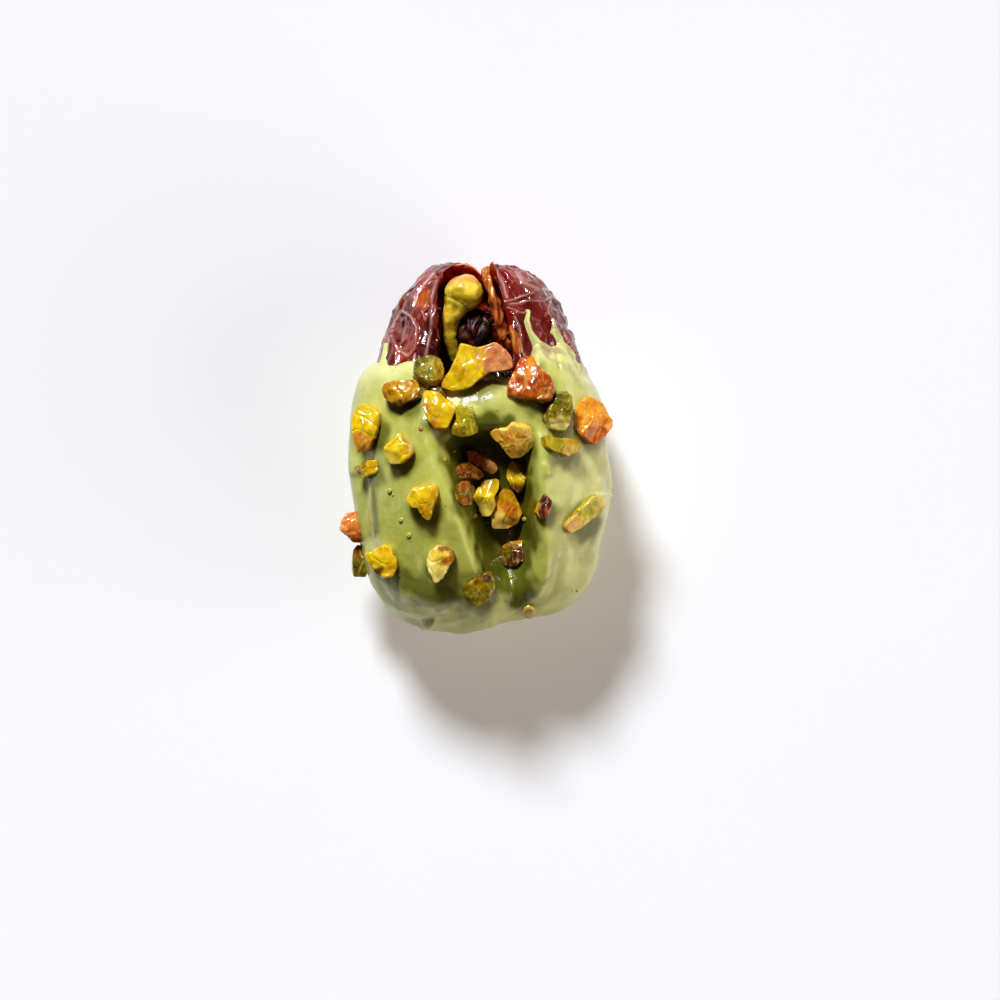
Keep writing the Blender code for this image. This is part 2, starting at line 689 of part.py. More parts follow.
def buildCoat(grid, dateRoom, nutRooms):
    """The coating with the small nuts and the drips fused to it, less the room for the date and the nuts."""
    coat = gridObject("coating", grid, colour=coatGreen)
    normals = normalsOf(grid)
    fused = bpy.data.collections.new("fused")
    bpy.context.scene.collection.children.link(fused)
    pieces = []
    for k, ((x, y, height, upright), outline) in enumerate(smallNuts):
        place = setOn(grid, normals, x, y, height, upright)
        pieces.append(nutObject(f"nut_{k}", *place, outline, height, 100 + k, helper=True))
    for k, ((x, y, height, z), outline) in enumerate(flankNuts):
        place = np.array((x, y, z)), np.array((0.0, 0.0, 1.0))
        pieces.append(nutObject(f"nut_side_{k}", *place, outline, height, 200 + k, helper=True))
    for k, path in enumerate(drips):
        line = [(x, y, float(hullTop(np.array(x), np.array(y)))) for x, y in path]
        pieces.append(sweptTube(f"drip_{k}", line, dripRadii, sides=8, steps=7, helper=True))
    for piece in pieces:
        bpy.context.scene.collection.objects.unlink(piece)
        fused.objects.link(piece)
    booleanOn(coat, "UNION", collection=fused)
    booleanOn(coat, "DIFFERENCE", other=dateRoom, solver="MANIFOLD")
    booleanOn(coat, "DIFFERENCE", collection=nutRooms, solver="MANIFOLD")
    for piece in pieces + list(nutRooms.objects) + [dateRoom]:
        bpy.data.objects.remove(piece)
    bpy.data.collections.remove(fused)
    bpy.data.collections.remove(nutRooms)
    keepLargest(coat)


def buildBigNuts(grid):
    """The large nuts, each its own solid, and for each the slightly larger block that makes its socket."""
    normals = normalsOf(grid)
    rooms = bpy.data.collections.new("nut_rooms")
    bpy.context.scene.collection.children.link(rooms)
    for k, (name, ((x, y, height, upright), outline)) in enumerate(bigNuts.items()):
        place = setOn(grid, normals, x, y, height, upright, slabLift if name == "nut_slab" else 0.0)
        colour = nutYellow if name in ("nut_slab", "nut_flank") else nutOrange
        nutObject(name, *place, outline, height, 300 + k, colour=colour)
        room = nutObject(f"{name}_room", *place, outline, height, 300 + k, grow=nutRoom, helper=True)
        bpy.context.scene.collection.objects.unlink(room)
        rooms.objects.link(room)
    return rooms


clearScene()
date, dateRoom = buildDate()
buildKernels()
outside = coatGrid(evenStations(dateTailY, dateHeadY, coatRows), coatRound)
nutRooms = buildBigNuts(outside)
buildCoat(outside, dateRoom, nutRooms)
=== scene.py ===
import bpy
import numpy as np
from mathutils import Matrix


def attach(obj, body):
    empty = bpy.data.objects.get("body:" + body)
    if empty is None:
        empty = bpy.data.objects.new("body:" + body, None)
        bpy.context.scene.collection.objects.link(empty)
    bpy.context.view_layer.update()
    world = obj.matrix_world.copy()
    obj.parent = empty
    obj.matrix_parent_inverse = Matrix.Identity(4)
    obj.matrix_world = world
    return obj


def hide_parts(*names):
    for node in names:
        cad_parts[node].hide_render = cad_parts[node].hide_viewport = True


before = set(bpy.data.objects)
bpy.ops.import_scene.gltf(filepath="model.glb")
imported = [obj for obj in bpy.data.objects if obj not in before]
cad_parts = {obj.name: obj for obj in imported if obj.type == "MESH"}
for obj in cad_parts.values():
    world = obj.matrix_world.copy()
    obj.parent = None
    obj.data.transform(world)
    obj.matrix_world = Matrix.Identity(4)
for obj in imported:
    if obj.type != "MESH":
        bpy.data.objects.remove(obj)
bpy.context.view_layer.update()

# Every length below is in mm from the middle of the date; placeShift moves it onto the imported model.
placeShift = np.array((0.468, 0.193, 0.0))


# Numbers and fields
def smooth(edge0, edge1, value):  # 0 before edge0, 1 past edge1, an S-curve between
    t = np.clip((value - edge0) / (edge1 - edge0), 0.0, 1.0)
    return t * t * (3.0 - 2.0 * t)


def smoothMax(a, b, blend):  # the larger of two fields, rounded where they cross
    h = np.clip(0.5 + 0.5 * (a - b) / blend, 0.0, 1.0)
    return b + (a - b) * h + blend * h * (1.0 - h)


def waves(x, y, z, length, seed):  # a seeded sum of sines of about that length, about -1 to 1
    rng, count = np.random.RandomState(seed), 14
    total = np.zeros_like(x)
    for _ in range(count):
        way = rng.normal(size=3)
        way *= 2.0 * np.pi / (length * np.linalg.norm(way) * rng.uniform(0.7, 1.4))
        total += np.sin(way[0] * x + way[1] * y + way[2] * z + rng.uniform(0, 2.0 * np.pi))
    return total / np.sqrt(count)


def hill(gap, width):  # 1 where the gap is 0, a bell curve of that half width
    return np.exp(-((gap / width) ** 2))


def creased(x, y, z, length, seed, sharp):  # 1 along thin lines where the waves cross zero, 0 between them
    return np.exp(-(waves(x, y, z, length, seed) ** 2) / sharp)


def alongPath(x, y, path, radii=None):  # distance in plan to a path, and the path's own radius there
    best, radius = np.full(np.shape(x), 1e9), np.zeros(np.shape(x))
    radii = radii or [0.0] * len(path)
    for a, b, ra, rb in zip(path[:-1], path[1:], radii[:-1], radii[1:]):
        dx, dy = b[0] - a[0], b[1] - a[1]
        t = np.clip(((x - a[0]) * dx + (y - a[1]) * dy) / (dx**2 + dy**2), 0.0, 1.0)
        gap = np.hypot(x - a[0] - t * dx, y - a[1] - t * dy)
        near = gap - (ra + t * (rb - ra)) < best - radius
        best, radius = np.where(near, gap, best), np.where(near, ra + t * (rb - ra), radius)
    return best, radius


def linear(red, green, blue):  # a colour picked in 0 to 255, as the shader's linear values
    c = np.array((red, green, blue)) / 255.0
    return np.where(c <= 0.04045, c / 12.92, ((c + 0.055) / 1.055) ** 2.4)


def mixTint(a, b, amount):  # colours a to b by an amount at each point
    amount = np.asarray(amount)[..., None]
    return np.asarray(a) * (1.0 - amount) + np.asarray(b) * amount


# The date's and the coating's shape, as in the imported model
dateForm = {
    "headY": 23.4, "tailY": -20.4, "halfWidth": 13.97, "topHeight": 10.5, "underHeight": 10.3,
    "centreZ": 11.9,
    "sectionPower": 2.35, "tailSlope": 0.185, "tailSag": 0.0052,
    "slitLeft": -5.4, "slitRight": 4.1, "slitDepth": 8.4, "slitBlindY": 3.5, "slitSquareness": 9,
    "notchX": 0.9, "notchDepth": 2.5,
    "dentDepth": 5.8, "dentFall": 2.0, "dentRoom": 1.8, "dentFade": 7.0, "dentRight": 6.2, "dentTopY": 2.8,
}
centreZ = dateForm["centreZ"]


def endShare(y, headPower, tailPower):  # how full the date is at y: a superellipse towards each end
    s = np.where(y > 0, y / dateForm["headY"], y / dateForm["tailY"])
    blunt = np.where(y > 0, 1.95, 2.2)
    return (1.0 - np.clip(s, 0.0, 1.0) ** blunt) ** (1.0 / np.where(y > 0, headPower, tailPower))


def halfWide(y, right):  # the half width at y, fuller at the tail on the right side
    return dateForm["halfWidth"] * endShare(y, np.where(right, 2.6, 2.75), np.where(right, 6.0, 2.6))


def hull(y, angle):  # polar superellipse sections, the angle from straight up towards +X
    wide = halfWide(y, np.sin(angle) > 0)
    high = np.where(np.cos(angle) > 0, dateForm["topHeight"], dateForm["underHeight"]) * endShare(y, 3.6, 2.9)
    wide, high = np.maximum(wide, 1e-6), np.maximum(high, 1e-6)
    power = dateForm["sectionPower"]
    r = (np.abs(np.sin(angle) / wide) ** power + np.abs(np.cos(angle) / high) ** power) ** (-1.0 / power)
    return r * np.sin(angle), centreZ + r * np.cos(angle)


def hullTop(x, y):  # the height of the smooth date's upper side
    wide = halfWide(y, x > 0)
    high = dateForm["topHeight"] * endShare(y, 3.6, 2.9)
    s = np.clip(np.abs(x) / np.maximum(wide, 1e-6), 0.0, 1.0)
    power = dateForm["sectionPower"]
    return centreZ + high * (1.0 - s**power) ** (1.0 / power)


def dent(x, y, wider=0.0):  # the trench along the slit: deeper to the tail, running out there
    left = -4.7 - 0.34 * y - wider
    right = dateForm["dentRight"] + wider
    soften = smooth(-5.0, -15.0, y)
    across = smooth(left - 1.0, left + 3.2, x) * smooth(right + 0.5 + soften, right - 1.7 - 1.5 * soften, x)
    top = dateForm["dentTopY"] + wider
    along = smooth(top, top - 3.2, y) * dateForm["dentDepth"]
    runOut = dateForm["dentDepth"] * smooth(-11.0 - wider, -19.8 - wider, y)
    return across * (along + dateForm["dentFall"] * smooth(-3.0, -12.0, y) - runOut)


def notched(x, y, z):  # y with the notch at the open end: gentle on its left, sheer on its right
    gap = x - dateForm["notchX"]
    sharp, broad = np.where(gap < 0, 1.0 + gap / 2.4, 1.0 - gap / 0.5), 1.0 - np.abs(gap) / 5.0
    upper = smooth(-3.0, 3.0, z - centreZ)
    shape = np.clip(sharp, 0.0, 1.0) * upper + np.clip(broad, 0.0, 1.0) * (1.0 - upper)
    return y - dateForm["notchDepth"] * shape * smooth(15.5, 22.0, y) * smooth(-9.5, -5.0, z - centreZ)


def slanted(x, y):  # y with the tail's end cut on a slope
    return y + (dateForm["tailSlope"] * x - dateForm["tailSag"] * x**2) * np.clip(-y / 20.0, 0.0, 1.0) ** 2


def outlineSteps(low, high, count):  # values of y from low to high, evenly spaced along the outline
    fine = np.sin(np.linspace(-np.pi / 2, np.pi / 2, 4000))
    y = np.where(fine > 0, fine * dateForm["headY"], -fine * dateForm["tailY"])
    x = dateForm["halfWidth"] * endShare(y, 2.6, 2.8)
    run = np.concatenate([[0.0], np.cumsum(np.hypot(np.diff(y), np.diff(x)))])
    return np.interp(np.linspace(*np.interp([low, high], y, run), count), run, y)


def normalsOf(points):  # outward normals of a grid, stations by round, closed round
    along = np.gradient(points, axis=0)
    around = (np.roll(points, -1, axis=1) - np.roll(points, 1, axis=1)) / 2.0
    n = np.cross(around, along)
    length = np.linalg.norm(n, axis=2, keepdims=True)
    n = np.where(length > 1e-9, n / np.maximum(length, 1e-9), 0.0)
    n[0], n[-1] = (0.0, -1.0, 0.0), (0.0, 1.0, 0.0)
    return n


def closeTips(points):  # each end row drawn to one point
    points[0], points[-1] = points[0].mean(axis=0), points[-1].mean(axis=0)
    return points


def slitEdges(y):  # the slit's two lips, drawing together towards the open end
    room = 0.72 * dateForm["halfWidth"] * endShare(y, 2.6, 2.8)
    left = dateForm["slitLeft"] + 0.9 * smooth(18.5, 23.0, y)
    right = dateForm["slitRight"] - 2.2 * smooth(12.5, 23.5, y)
    return np.maximum(left, -room), np.minimum(right, room)


def slitDeep(y):  # full amidships, a wall at the open end and another under the coating
    blind = dateForm["slitBlindY"]
    return dateForm["slitDepth"] * smooth(23.0, 21.2, y) * smooth(blind, blind + 4.0, y)


def skinRelief(x, y, z):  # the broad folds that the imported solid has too
    lumps = waves(x, y * 0.45, z, 5.0, 3) * 0.22
    creases = -0.55 * creased(x, y * 0.4, z, 7.0, 8, 0.03)
    return (lumps + creases) * smooth(7.5, 10.0, y)


# Meshes
def gridFaces(rows, columns):  # quads between stations, and a fan at each end's single point
    i, j = np.arange(rows - 3)[:, None] * columns + 1, np.arange(columns)[None, :]
    k = (j + 1) % columns
    quads = np.stack([i + j, i + k, i + k + columns, i + j + columns], axis=-1).reshape(-1, 4)
    last = 1 + (rows - 2) * columns
    j, k = j[0], k[0]
    start = np.stack([j * 0, 1 + k, 1 + j], axis=-1)
    end = np.stack([j * 0 + last, last - columns + j, last - columns + k], axis=-1)
    return quads.tolist() + start.tolist() + end.tolist()


def gridVertices(points):
    return np.vstack([points[0, :1], points[1:-1].reshape(-1, points.shape[2]), points[-1, :1]])


def joinGrids(grids):  # several closed grids as one set of vertices and faces
    vertices, faces, start = [], [], 0
    for points in grids:
        vertices.append(gridVertices(points))
        faces += [[v + start for v in face] for face in gridFaces(*points.shape[:2])]
        start += len(vertices[-1])
    return np.vstack(vertices), faces


def outwards(vertices, faces):  # True if the closed mesh's faces point out: its signed volume is above 0
    second = [(face[0], face[2], face[3]) for face in faces if len(face) == 4]
    f = np.array([face[:3] for face in faces] + second)
    a, b, c = vertices[f[:, 0]], vertices[f[:, 1]], vertices[f[:, 2]]
    return np.einsum("ij,ij->i", a, np.cross(b, c)).sum() > 0


def addMesh(name, vertices, faces, material=None, paint=None, masks=()):
    vertices = np.asarray(vertices, float)
    if not outwards(vertices[:, :3], faces):
        faces = [face[::-1] for face in faces]
    mesh = bpy.data.meshes.new(name)
    mesh.from_pydata(((vertices[:, :3] + placeShift) * 0.001).tolist(), [], faces)
    mesh.shade_smooth()
    if paint is not None:
        layer = mesh.attributes.new("paint", "FLOAT_COLOR", "POINT")
        layer.data.foreach_set("color", np.hstack([paint, np.ones((len(paint), 1))]).ravel())
    for key, values in dict(masks).items():
        mesh.attributes.new(key, "FLOAT", "POINT").data.foreach_set("value", values.ravel())
    piece = bpy.data.objects.new(name, mesh)
    bpy.context.scene.collection.objects.link(piece)
    if material:
        mesh.materials.append(material)
    return piece


def addPiece(name, node, vertices, faces, material, paint=None, masks=()):
    # a mesh that rides on the body's root, with the material it is given, stands for the node and hides it
    piece = addMesh(name, vertices, faces, material, paint, masks)
    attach(piece, "root")
    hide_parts(node)


def addGrid(name, node, points, material, paint, masks=()):  # the same from a grid of points and of colours
    vertices, faces = joinGrids([points])
    addPiece(name, node, vertices, faces, material, gridVertices(paint), masks)
    return len(faces)


def tubeGrid(path, radii, sides, steps, flat=1.0, flutes=0.0, fluteCount=5):
    # a ring carried along a rounded path; flat squashes it upwards, flutes run along it
    path, radii = np.array(path, float), np.array(radii, float)
    run, keys = np.linspace(0.0, len(path) - 1.0, steps), np.arange(len(path))
    centre = np.stack([np.interp(run, keys, path[:, k]) for k in range(3)], axis=1)
    for _ in range(max(1, steps // 8)):
        centre[1:-1] = (centre[:-2] + 2.0 * centre[1:-1] + centre[2:]) / 4.0
    radius = np.interp(run, keys, radii)
    way = np.gradient(centre, axis=0)
    way /= np.linalg.norm(way, axis=1, keepdims=True)
    side = np.cross(way, (0.0, 0.0, 1.0))
    side /= np.linalg.norm(side, axis=1, keepdims=True)
    up = np.cross(side, way)
    turn = np.linspace(0.0, 2.0 * np.pi, sides, endpoint=False)[None, :, None]
    uneven = 1.0 + flutes * np.sin(fluteCount * turn + 1.5 * run[:, None, None])
    ring = side[:, None] * np.cos(turn) + up[:, None] * np.sin(turn) * flat
    points = centre[:, None] + radius[:, None, None] * ring * uneven
    capRows = []
    for end, sign in ((0, -1.0), (-1, 1.0)):  # rounded ends
        for a in (0.35, 0.7, 0.92):
            shrunk = centre[end] + (points[end] - centre[end]) * np.sqrt(1 - a**2)
            capRows.append(shrunk + way[end] * radius[end] * sign * a * 0.8)
        capRows.append(np.broadcast_to(centre[end] + way[end] * radius[end] * sign * 0.8, points[end].shape))
    first = np.stack(capRows[:4][::-1])
    return np.concatenate([first, points, np.stack(capRows[4:])])


# Materials
def newMaterial(name, **sockets):
    material = bpy.data.materials.new(name)
    material.use_nodes = True
    shader = material.node_tree.nodes["Principled BSDF"]
    for socket, value in sockets.items():
        shader.inputs[socket.replace("_", " ")].default_value = value
    return material, material.node_tree, shader


def attribute(tree, name, output="Color"):
    node = tree.nodes.new("ShaderNodeAttribute")
    node.attribute_name = name
    return node.outputs[output]


def noise(tree, scale, detail=4.0, stretch=(1.0, 1.0, 1.0), low=0.0, high=1.0, kind="noise"):
    # noise on the piece's own coordinates, in features of about 1 / scale m, spread between low and high
    where = tree.nodes.new("ShaderNodeTexCoord")
    mapping = tree.nodes.new("ShaderNodeMapping")
    mapping.inputs["Scale"].default_value = stretch
    tree.links.new(where.outputs["Object"], mapping.inputs["Vector"])
    if kind == "noise":
        node = tree.nodes.new("ShaderNodeTexNoise")
        node.inputs["Detail"].default_value = detail
        result = node.outputs["Fac"]
    else:
        node = tree.nodes.new("ShaderNodeTexVoronoi")
        result = node.outputs["Distance"]
    node.inputs["Scale"].default_value = scale
    tree.links.new(mapping.outputs["Vector"], node.inputs["Vector"])
    spread = tree.nodes.new("ShaderNodeMapRange")
    spread.inputs["From Min"].default_value = low
    spread.inputs["From Max"].default_value = high
    tree.links.new(result, spread.inputs["Value"])
    return spread.outputs["Result"]


def plug(tree, value, socket):  # a socket is linked, a plain value is set
    if isinstance(value, bpy.types.NodeSocket):
        tree.links.new(value, socket)
    else:
        socket.default_value = value


def math(tree, operation, a, b):
    node = tree.nodes.new("ShaderNodeMath")
    node.operation = operation
    plug(tree, a, node.inputs[0])
    plug(tree, b, node.inputs[1])
    return node.outputs[0]


def blendColour(tree, amount, a, b):
    node = tree.nodes.new("ShaderNodeMix")
    node.data_type = "RGBA"
    plug(tree, amount, node.inputs["Factor"])
    plug(tree, a if isinstance(a, bpy.types.NodeSocket) else (*a, 1.0), node.inputs["A"])
    plug(tree, b if isinstance(b, bpy.types.NodeSocket) else (*b, 1.0), node.inputs["B"])
    return node.outputs["Result"]


def paintShader(tree, shader, colour):
    tree.links.new(colour, shader.inputs["Base Color"])


def bump(tree, shader, *layers):  # layers of (height, strength, distance in m)
    last = None
    for height, strength, distance in layers:
        node = tree.nodes.new("ShaderNodeBump")
        node.inputs["Strength"].default_value = strength
        node.inputs["Distance"].default_value = distance
        tree.links.new(height, node.inputs["Height"])
        if last:
            tree.links.new(last, node.inputs["Normal"])
        last = node.outputs["Normal"]
    tree.links.new(last, shader.inputs["Normal"])


# The date
dateLook = {
    # rows, closer together past denseY, and points of a row outside and in the slit
    "rows": 300, "tailRows": 62, "denseY": 6.6, "outside": 232, "inside": 60,
    "thinSpots": (  # where the amber flesh shows: path in plan, how much
        (((-9.9, 18.4), (-10.8, 16.8)), 0.7), (((-6.8, 19.0), (-7.4, 17.9)), 0.9),
        (((-10.2, 11.9), (-9.4, 11.4)), 0.4),
    ),
    "skinRed": linear(142, 18, 7), "skinDark": linear(84, 8, 4), "skinPurple": linear(122, 32, 30),
    # the pale haze is whitish bloom with painted sheen; the fold tint is a painted highlight
    "bloomAndSheen": linear(186, 132, 122), "filmAndSheen": linear(236, 198, 186), "amber": linear(196, 104, 22),
    # the end wall's bright orange stands in for light shining through it; the darkest flesh is painted shade
    "flesh": linear(196, 62, 12), "fleshDeep": linear(96, 14, 3), "endFleshLitThrough": linear(255, 138, 50),
    "fleshShade": linear(40, 6, 2),
}
# folds of the skin that stand out: path in plan, height, width
skinFolds = (
    (((-10.7, 15.7), (-9.6, 16.9), (-8.5, 16.1), (-7.7, 14.6), (-8.0, 12.2), (-8.8, 11.2)), 0.30, 0.22),
    (((-8.8, 11.2), (-10.1, 11.9), (-11.0, 13.8), (-10.7, 15.7)), 0.26, 0.22),
    (((-9.1, 16.2), (-9.5, 13.6), (-10.0, 11.6)), 0.12, 0.12),
    (((-5.7, 21.6), (-6.9, 20.2), (-7.8, 18.8), (-8.2, 17.3)), 0.32, 0.28),
    (((-7.6, 15.8), (-7.0, 16.8), (-6.7, 15.6), (-6.1, 17.0), (-5.9, 15.6)), 0.22, 0.16),
    (((-5.3, 20.6), (-5.9, 18.4), (-6.0, 14.5), (-6.6, 11.2)), 0.22, 0.3),
    (((-12.0, 12.6), (-11.6, 15.2), (-10.4, 17.6), (-8.6, 20.0)), 0.18, 0.3),
    (((3.3, 17.9), (5.1, 18.6), (6.7, 19.1)), 0.26, 0.15),
    (((3.6, 17.6), (6.2, 18.1), (8.1, 18.1), (9.1, 18.8)), 0.26, 0.15),
    (((9.1, 18.8), (9.8, 17.8), (10.0, 16.9)), 0.24, 0.14),
    (((9.1, 18.8), (8.5, 16.8), (9.2, 15.8)), 0.24, 0.16),
    (((10.1, 15.2), (10.9, 13.4), (12.1, 11.4)), 0.30, 0.16),
    (((3.6, 17.2), (5.2, 16.6), (6.3, 16.7)), 0.20, 0.15),
    (((4.4, 16.0), (5.0, 14.6), (5.2, 12.0), (5.9, 10.8)), 0.22, 0.18),
    (((4.6, 21.6), (5.4, 20.4), (7.4, 19.6)), 0.24, 0.4),
    (((1.9, 22.2), (2.8, 20.4), (3.4, 18.4)), 0.25, 0.3),
)


def skinDetail(x, y, z):  # folds along their paths, thin wrinkles and small dimples
    upper = smooth(-1.0, 3.0, z - centreZ)
    total = np.zeros_like(x)
    for path, height, width in skinFolds:
        gap, _ = alongPath(x, y, path)
        total = np.maximum(total, 1.25 * height * hill(gap, 0.8 * width))
    facet, _ = alongPath(x, y, ((-9.6, 15.2), (-9.3, 12.6)), (1.1, 0.9))
    total = total * upper - 0.25 * smooth(1.6, 0.7, facet) * upper
    wrinkles = 0.10 * creased(x, y * 0.55, z, 2.6, 31, 0.05) - 0.10 * creased(x, y * 0.5, z, 3.4, 35, 0.04)
    small = 0.035 * waves(x, y * 0.7, z, 0.9, 37) + 0.06 * waves(x, y * 0.6, z, 1.9, 39)
    return (total + wrinkles + small) * smooth(6.5, 8.5, y) - 0.18 * smooth(21.6, 23.2, y)


def dateGrid(stations, outside, inside, inflate=0.0, slit=True, detail=False):
    # each section runs from the right lip round below to the left lip, densest on top, then down the slit
    y = stations[:, None]
    left, right = slitEdges(y)
    leftAngle = np.arctan2(left, hullTop(left, y) - centreZ)
    rightAngle = np.arctan2(right, hullTop(right, y) - centreZ)
    u = np.linspace(0.0, 1.0, outside)[None, :]
    t = u - 0.68 * np.sin(2.0 * np.pi * u) / (2.0 * np.pi)
    x1, z1 = hull(y, rightAngle + t * (2.0 * np.pi + leftAngle - rightAngle))
    v = (1.0 - np.cos(np.pi * np.arange(1, inside) / inside))[None, :] / 2.0
    x2 = left + v * (right - left)
    x, z = np.hstack([x1, x2]), np.hstack([z1, hullTop(x2, y)])
    full = np.broadcast_to(y, x.shape)
    z = z - dent(x, full, wider=dateForm["dentRoom"]) * smooth(0.0, dateForm["dentFade"], z - centreZ)
    points = np.stack([x, slanted(x, notched(x, full, z)), z], axis=2)
    push = inflate + skinRelief(x, full, z) + (skinDetail(x, full, z) if detail else 0.0)
    points = points + normalsOf(points) * push[..., None]
    if slit:
        depth = (1.0 - np.abs(2.0 * v - 1.0) ** dateForm["slitSquareness"]) * slitDeep(y)
        points[:, outside:, 2] -= depth
    if slit and detail:  # torn, fibrous walls
        x, y, z = points[:, outside:, 0], points[:, outside:, 1], points[:, outside:, 2]
        inWall = smooth(0.2, 2.0, depth)
        torn = 0.16 * waves(x, y, z * 0.6, 1.6, 41) + 0.07 * waves(x, y, z, 0.6, 43)
        points[:, outside:, 0] += inWall * torn
        points[:, outside:, 2] += inWall * 0.15 * waves(x, y, z, 1.4, 47)
        points[:, outside:, 1] += inWall * 0.10 * waves(x, y, z, 1.1, 49)
    return closeTips(points)


def datePaint(points, outside):  # reds with whitish bloom and painted sheen, painted highlights along the folds, amber where thin, flesh in the slit
    x, y, z = points[..., 0], points[..., 1], points[..., 2]
    look = dateLook
    upper = smooth(0.5, 4.5, z - centreZ + 0.5 * waves(x, y, z, 2.0, 50))
    tone = smooth(-0.9, 0.9, waves(x, y * 0.6, z, 4.5, 51))
    paint = mixTint(look["skinDark"], look["skinRed"], tone)
    purple = smooth(3.0, 7.0, x) * smooth(-0.8, 0.6, waves(x, y, z, 6.0, 53))
    paint = mixTint(paint, look["skinPurple"], 0.75 * purple)
    for spot, amount in look["thinSpots"]:
        gap, _ = alongPath(x, y, spot)
        patch = amount * smooth(1.0, 0.25, gap + 0.3 * waves(x, y, z, 1.1, 55)) * upper
        paint = mixTint(paint, look["amber"], patch)
    # painted reflection: a whitish patch on the left cheek's flat facet; the broad haze is whitish bloom,
    # with painted sheen towards the upper right
    facet, radius = alongPath(x, y, ((-9.7, 15.0), (-9.3, 12.6)), (1.15, 0.9))
    bloomAndSheen = 0.12 * smooth(0.1, 1.0, waves(x, y * 0.5, z, 3.0, 57))
    bloomAndSheen = bloomAndSheen + 0.22 * smooth(16.5, 21.0, y) * smooth(2.0, 6.0, x)
    patchy = smooth(-0.9, 0.5, waves(x, y, z, 1.5, 58))
    bloomAndSheen = np.maximum(bloomAndSheen, 0.75 * smooth(0.25, -0.15, facet - radius) * patchy)
    # painted highlights: a pale line along the ridge of each fold
    folds = np.zeros_like(x)
    for path, height, width in skinFolds:
        gap, _ = alongPath(x, y, path)
        folds = np.maximum(folds, height * 2.8 * hill(gap, 0.6 * width))
    paint = mixTint(paint, look["bloomAndSheen"], np.clip(bloomAndSheen, 0.0, 0.85) * 0.7 * upper)
    paint = mixTint(paint, look["filmAndSheen"], np.clip(folds, 0.0, 0.9) * 0.75 * upper)
    flesh = np.zeros_like(x)
    flesh[:, outside:] = 1.0
    below = z - hullTop(x, y)
    sunk = smooth(-0.3, -1.4, below) * flesh
    inner = mixTint(look["flesh"], look["fleshDeep"], smooth(-0.7, 0.7, waves(x, y, z * 0.5, 1.5, 59)))
    # painted light: the end wall's flesh made bright orange where light shines through it
    atEnd = smooth(19.2, 20.8, y) * smooth(-1.4, 0.4, waves(x, y, z, 1.3, 61))
    inner = mixTint(inner, look["endFleshLitThrough"], atEnd)
    # painted shade: the slit's flesh darkened towards the middle of the date, under the slab
    inner = mixTint(inner, look["fleshShade"], smooth(12.0, 9.5, y))
    paint = mixTint(paint, inner, np.maximum(sunk, flesh * smooth(0.4, 0.0, np.abs(below))) * flesh)
    return paint, flesh * np.maximum(sunk, 0.3)


def dateMaterial():
    material, tree, shader = newMaterial(
        "dateSkin", Roughness=0.3, Subsurface_Weight=0.55, Subsurface_Radius=(1.0, 0.3, 0.08),
        Subsurface_Scale=0.0022, Coat_Weight=0.9, Coat_Roughness=0.05,
    )
    filmAndSheen = noise(tree, 900, 5.0, (1.0, 0.4, 1.0), 0.42, 0.72)
    scratch = noise(tree, 3200, 2.0, (1.0, 0.25, 1.0), 0.6, 0.78)
    dust = math(tree, "MULTIPLY", math(tree, "MAXIMUM", filmAndSheen, scratch), 0.13)
    skinOnly = math(tree, "SUBTRACT", 1.0, attribute(tree, "flesh", "Fac"))
    amount = math(tree, "MULTIPLY", dust, skinOnly)
    paintShader(tree, shader, blendColour(tree, amount, attribute(tree, "paint"), dateLook["bloomAndSheen"]))
    coarse, fine = noise(tree, 1500, 5.0, (1.0, 0.5, 1.0)), noise(tree, 5200, 3.0)
    bump(tree, shader, (coarse, 0.35, 0.0004), (fine, 0.2, 0.0001))
    return material


def makeDate():
    look = dateLook
    tail = outlineSteps(dateForm["tailY"], look["denseY"], look["tailRows"])[:-1]
    head = outlineSteps(look["denseY"], dateForm["headY"], look["rows"] - look["tailRows"])
    stations = np.concatenate([tail, head])
    points = dateGrid(stations, look["outside"], look["inside"], detail=True)
    paint, flesh = datePaint(points, look["outside"])
    masks = {"flesh": gridVertices(flesh[..., None])}
    count = addGrid("dateBody", "date", points, dateMaterial(), paint, masks)
    print("date:", count, "faces")


# Fibres of flesh at the slit
fibreLook = {
    "strandPath": (
        (0.7, 22.0, 16.6), (1.1, 20.5, 18.2), (1.8, 18.4, 18.6), (2.3, 15.9, 18.2), (3.0, 13.4, 17.2),
        (4.4, 11.8, 16.0),
    ),
    "strandRadii": (0.5, 0.5, 0.6, 0.65, 0.6, 0.5),
    "flapPath": ((4.0, 14.9, 21.6), (4.4, 13.6, 21.6), (4.9, 12.0, 21.4), (5.3, 10.6, 21.0)),
    "flapRadii": (0.15, 0.5, 0.62, 0.3),
    "threadPath": ((2.0, 12.7, 18.6), (3.0, 13.7, 20.6), (4.2, 14.4, 21.7)),
    "light": linear(232, 168, 98), "deep": linear(176, 92, 38),
}


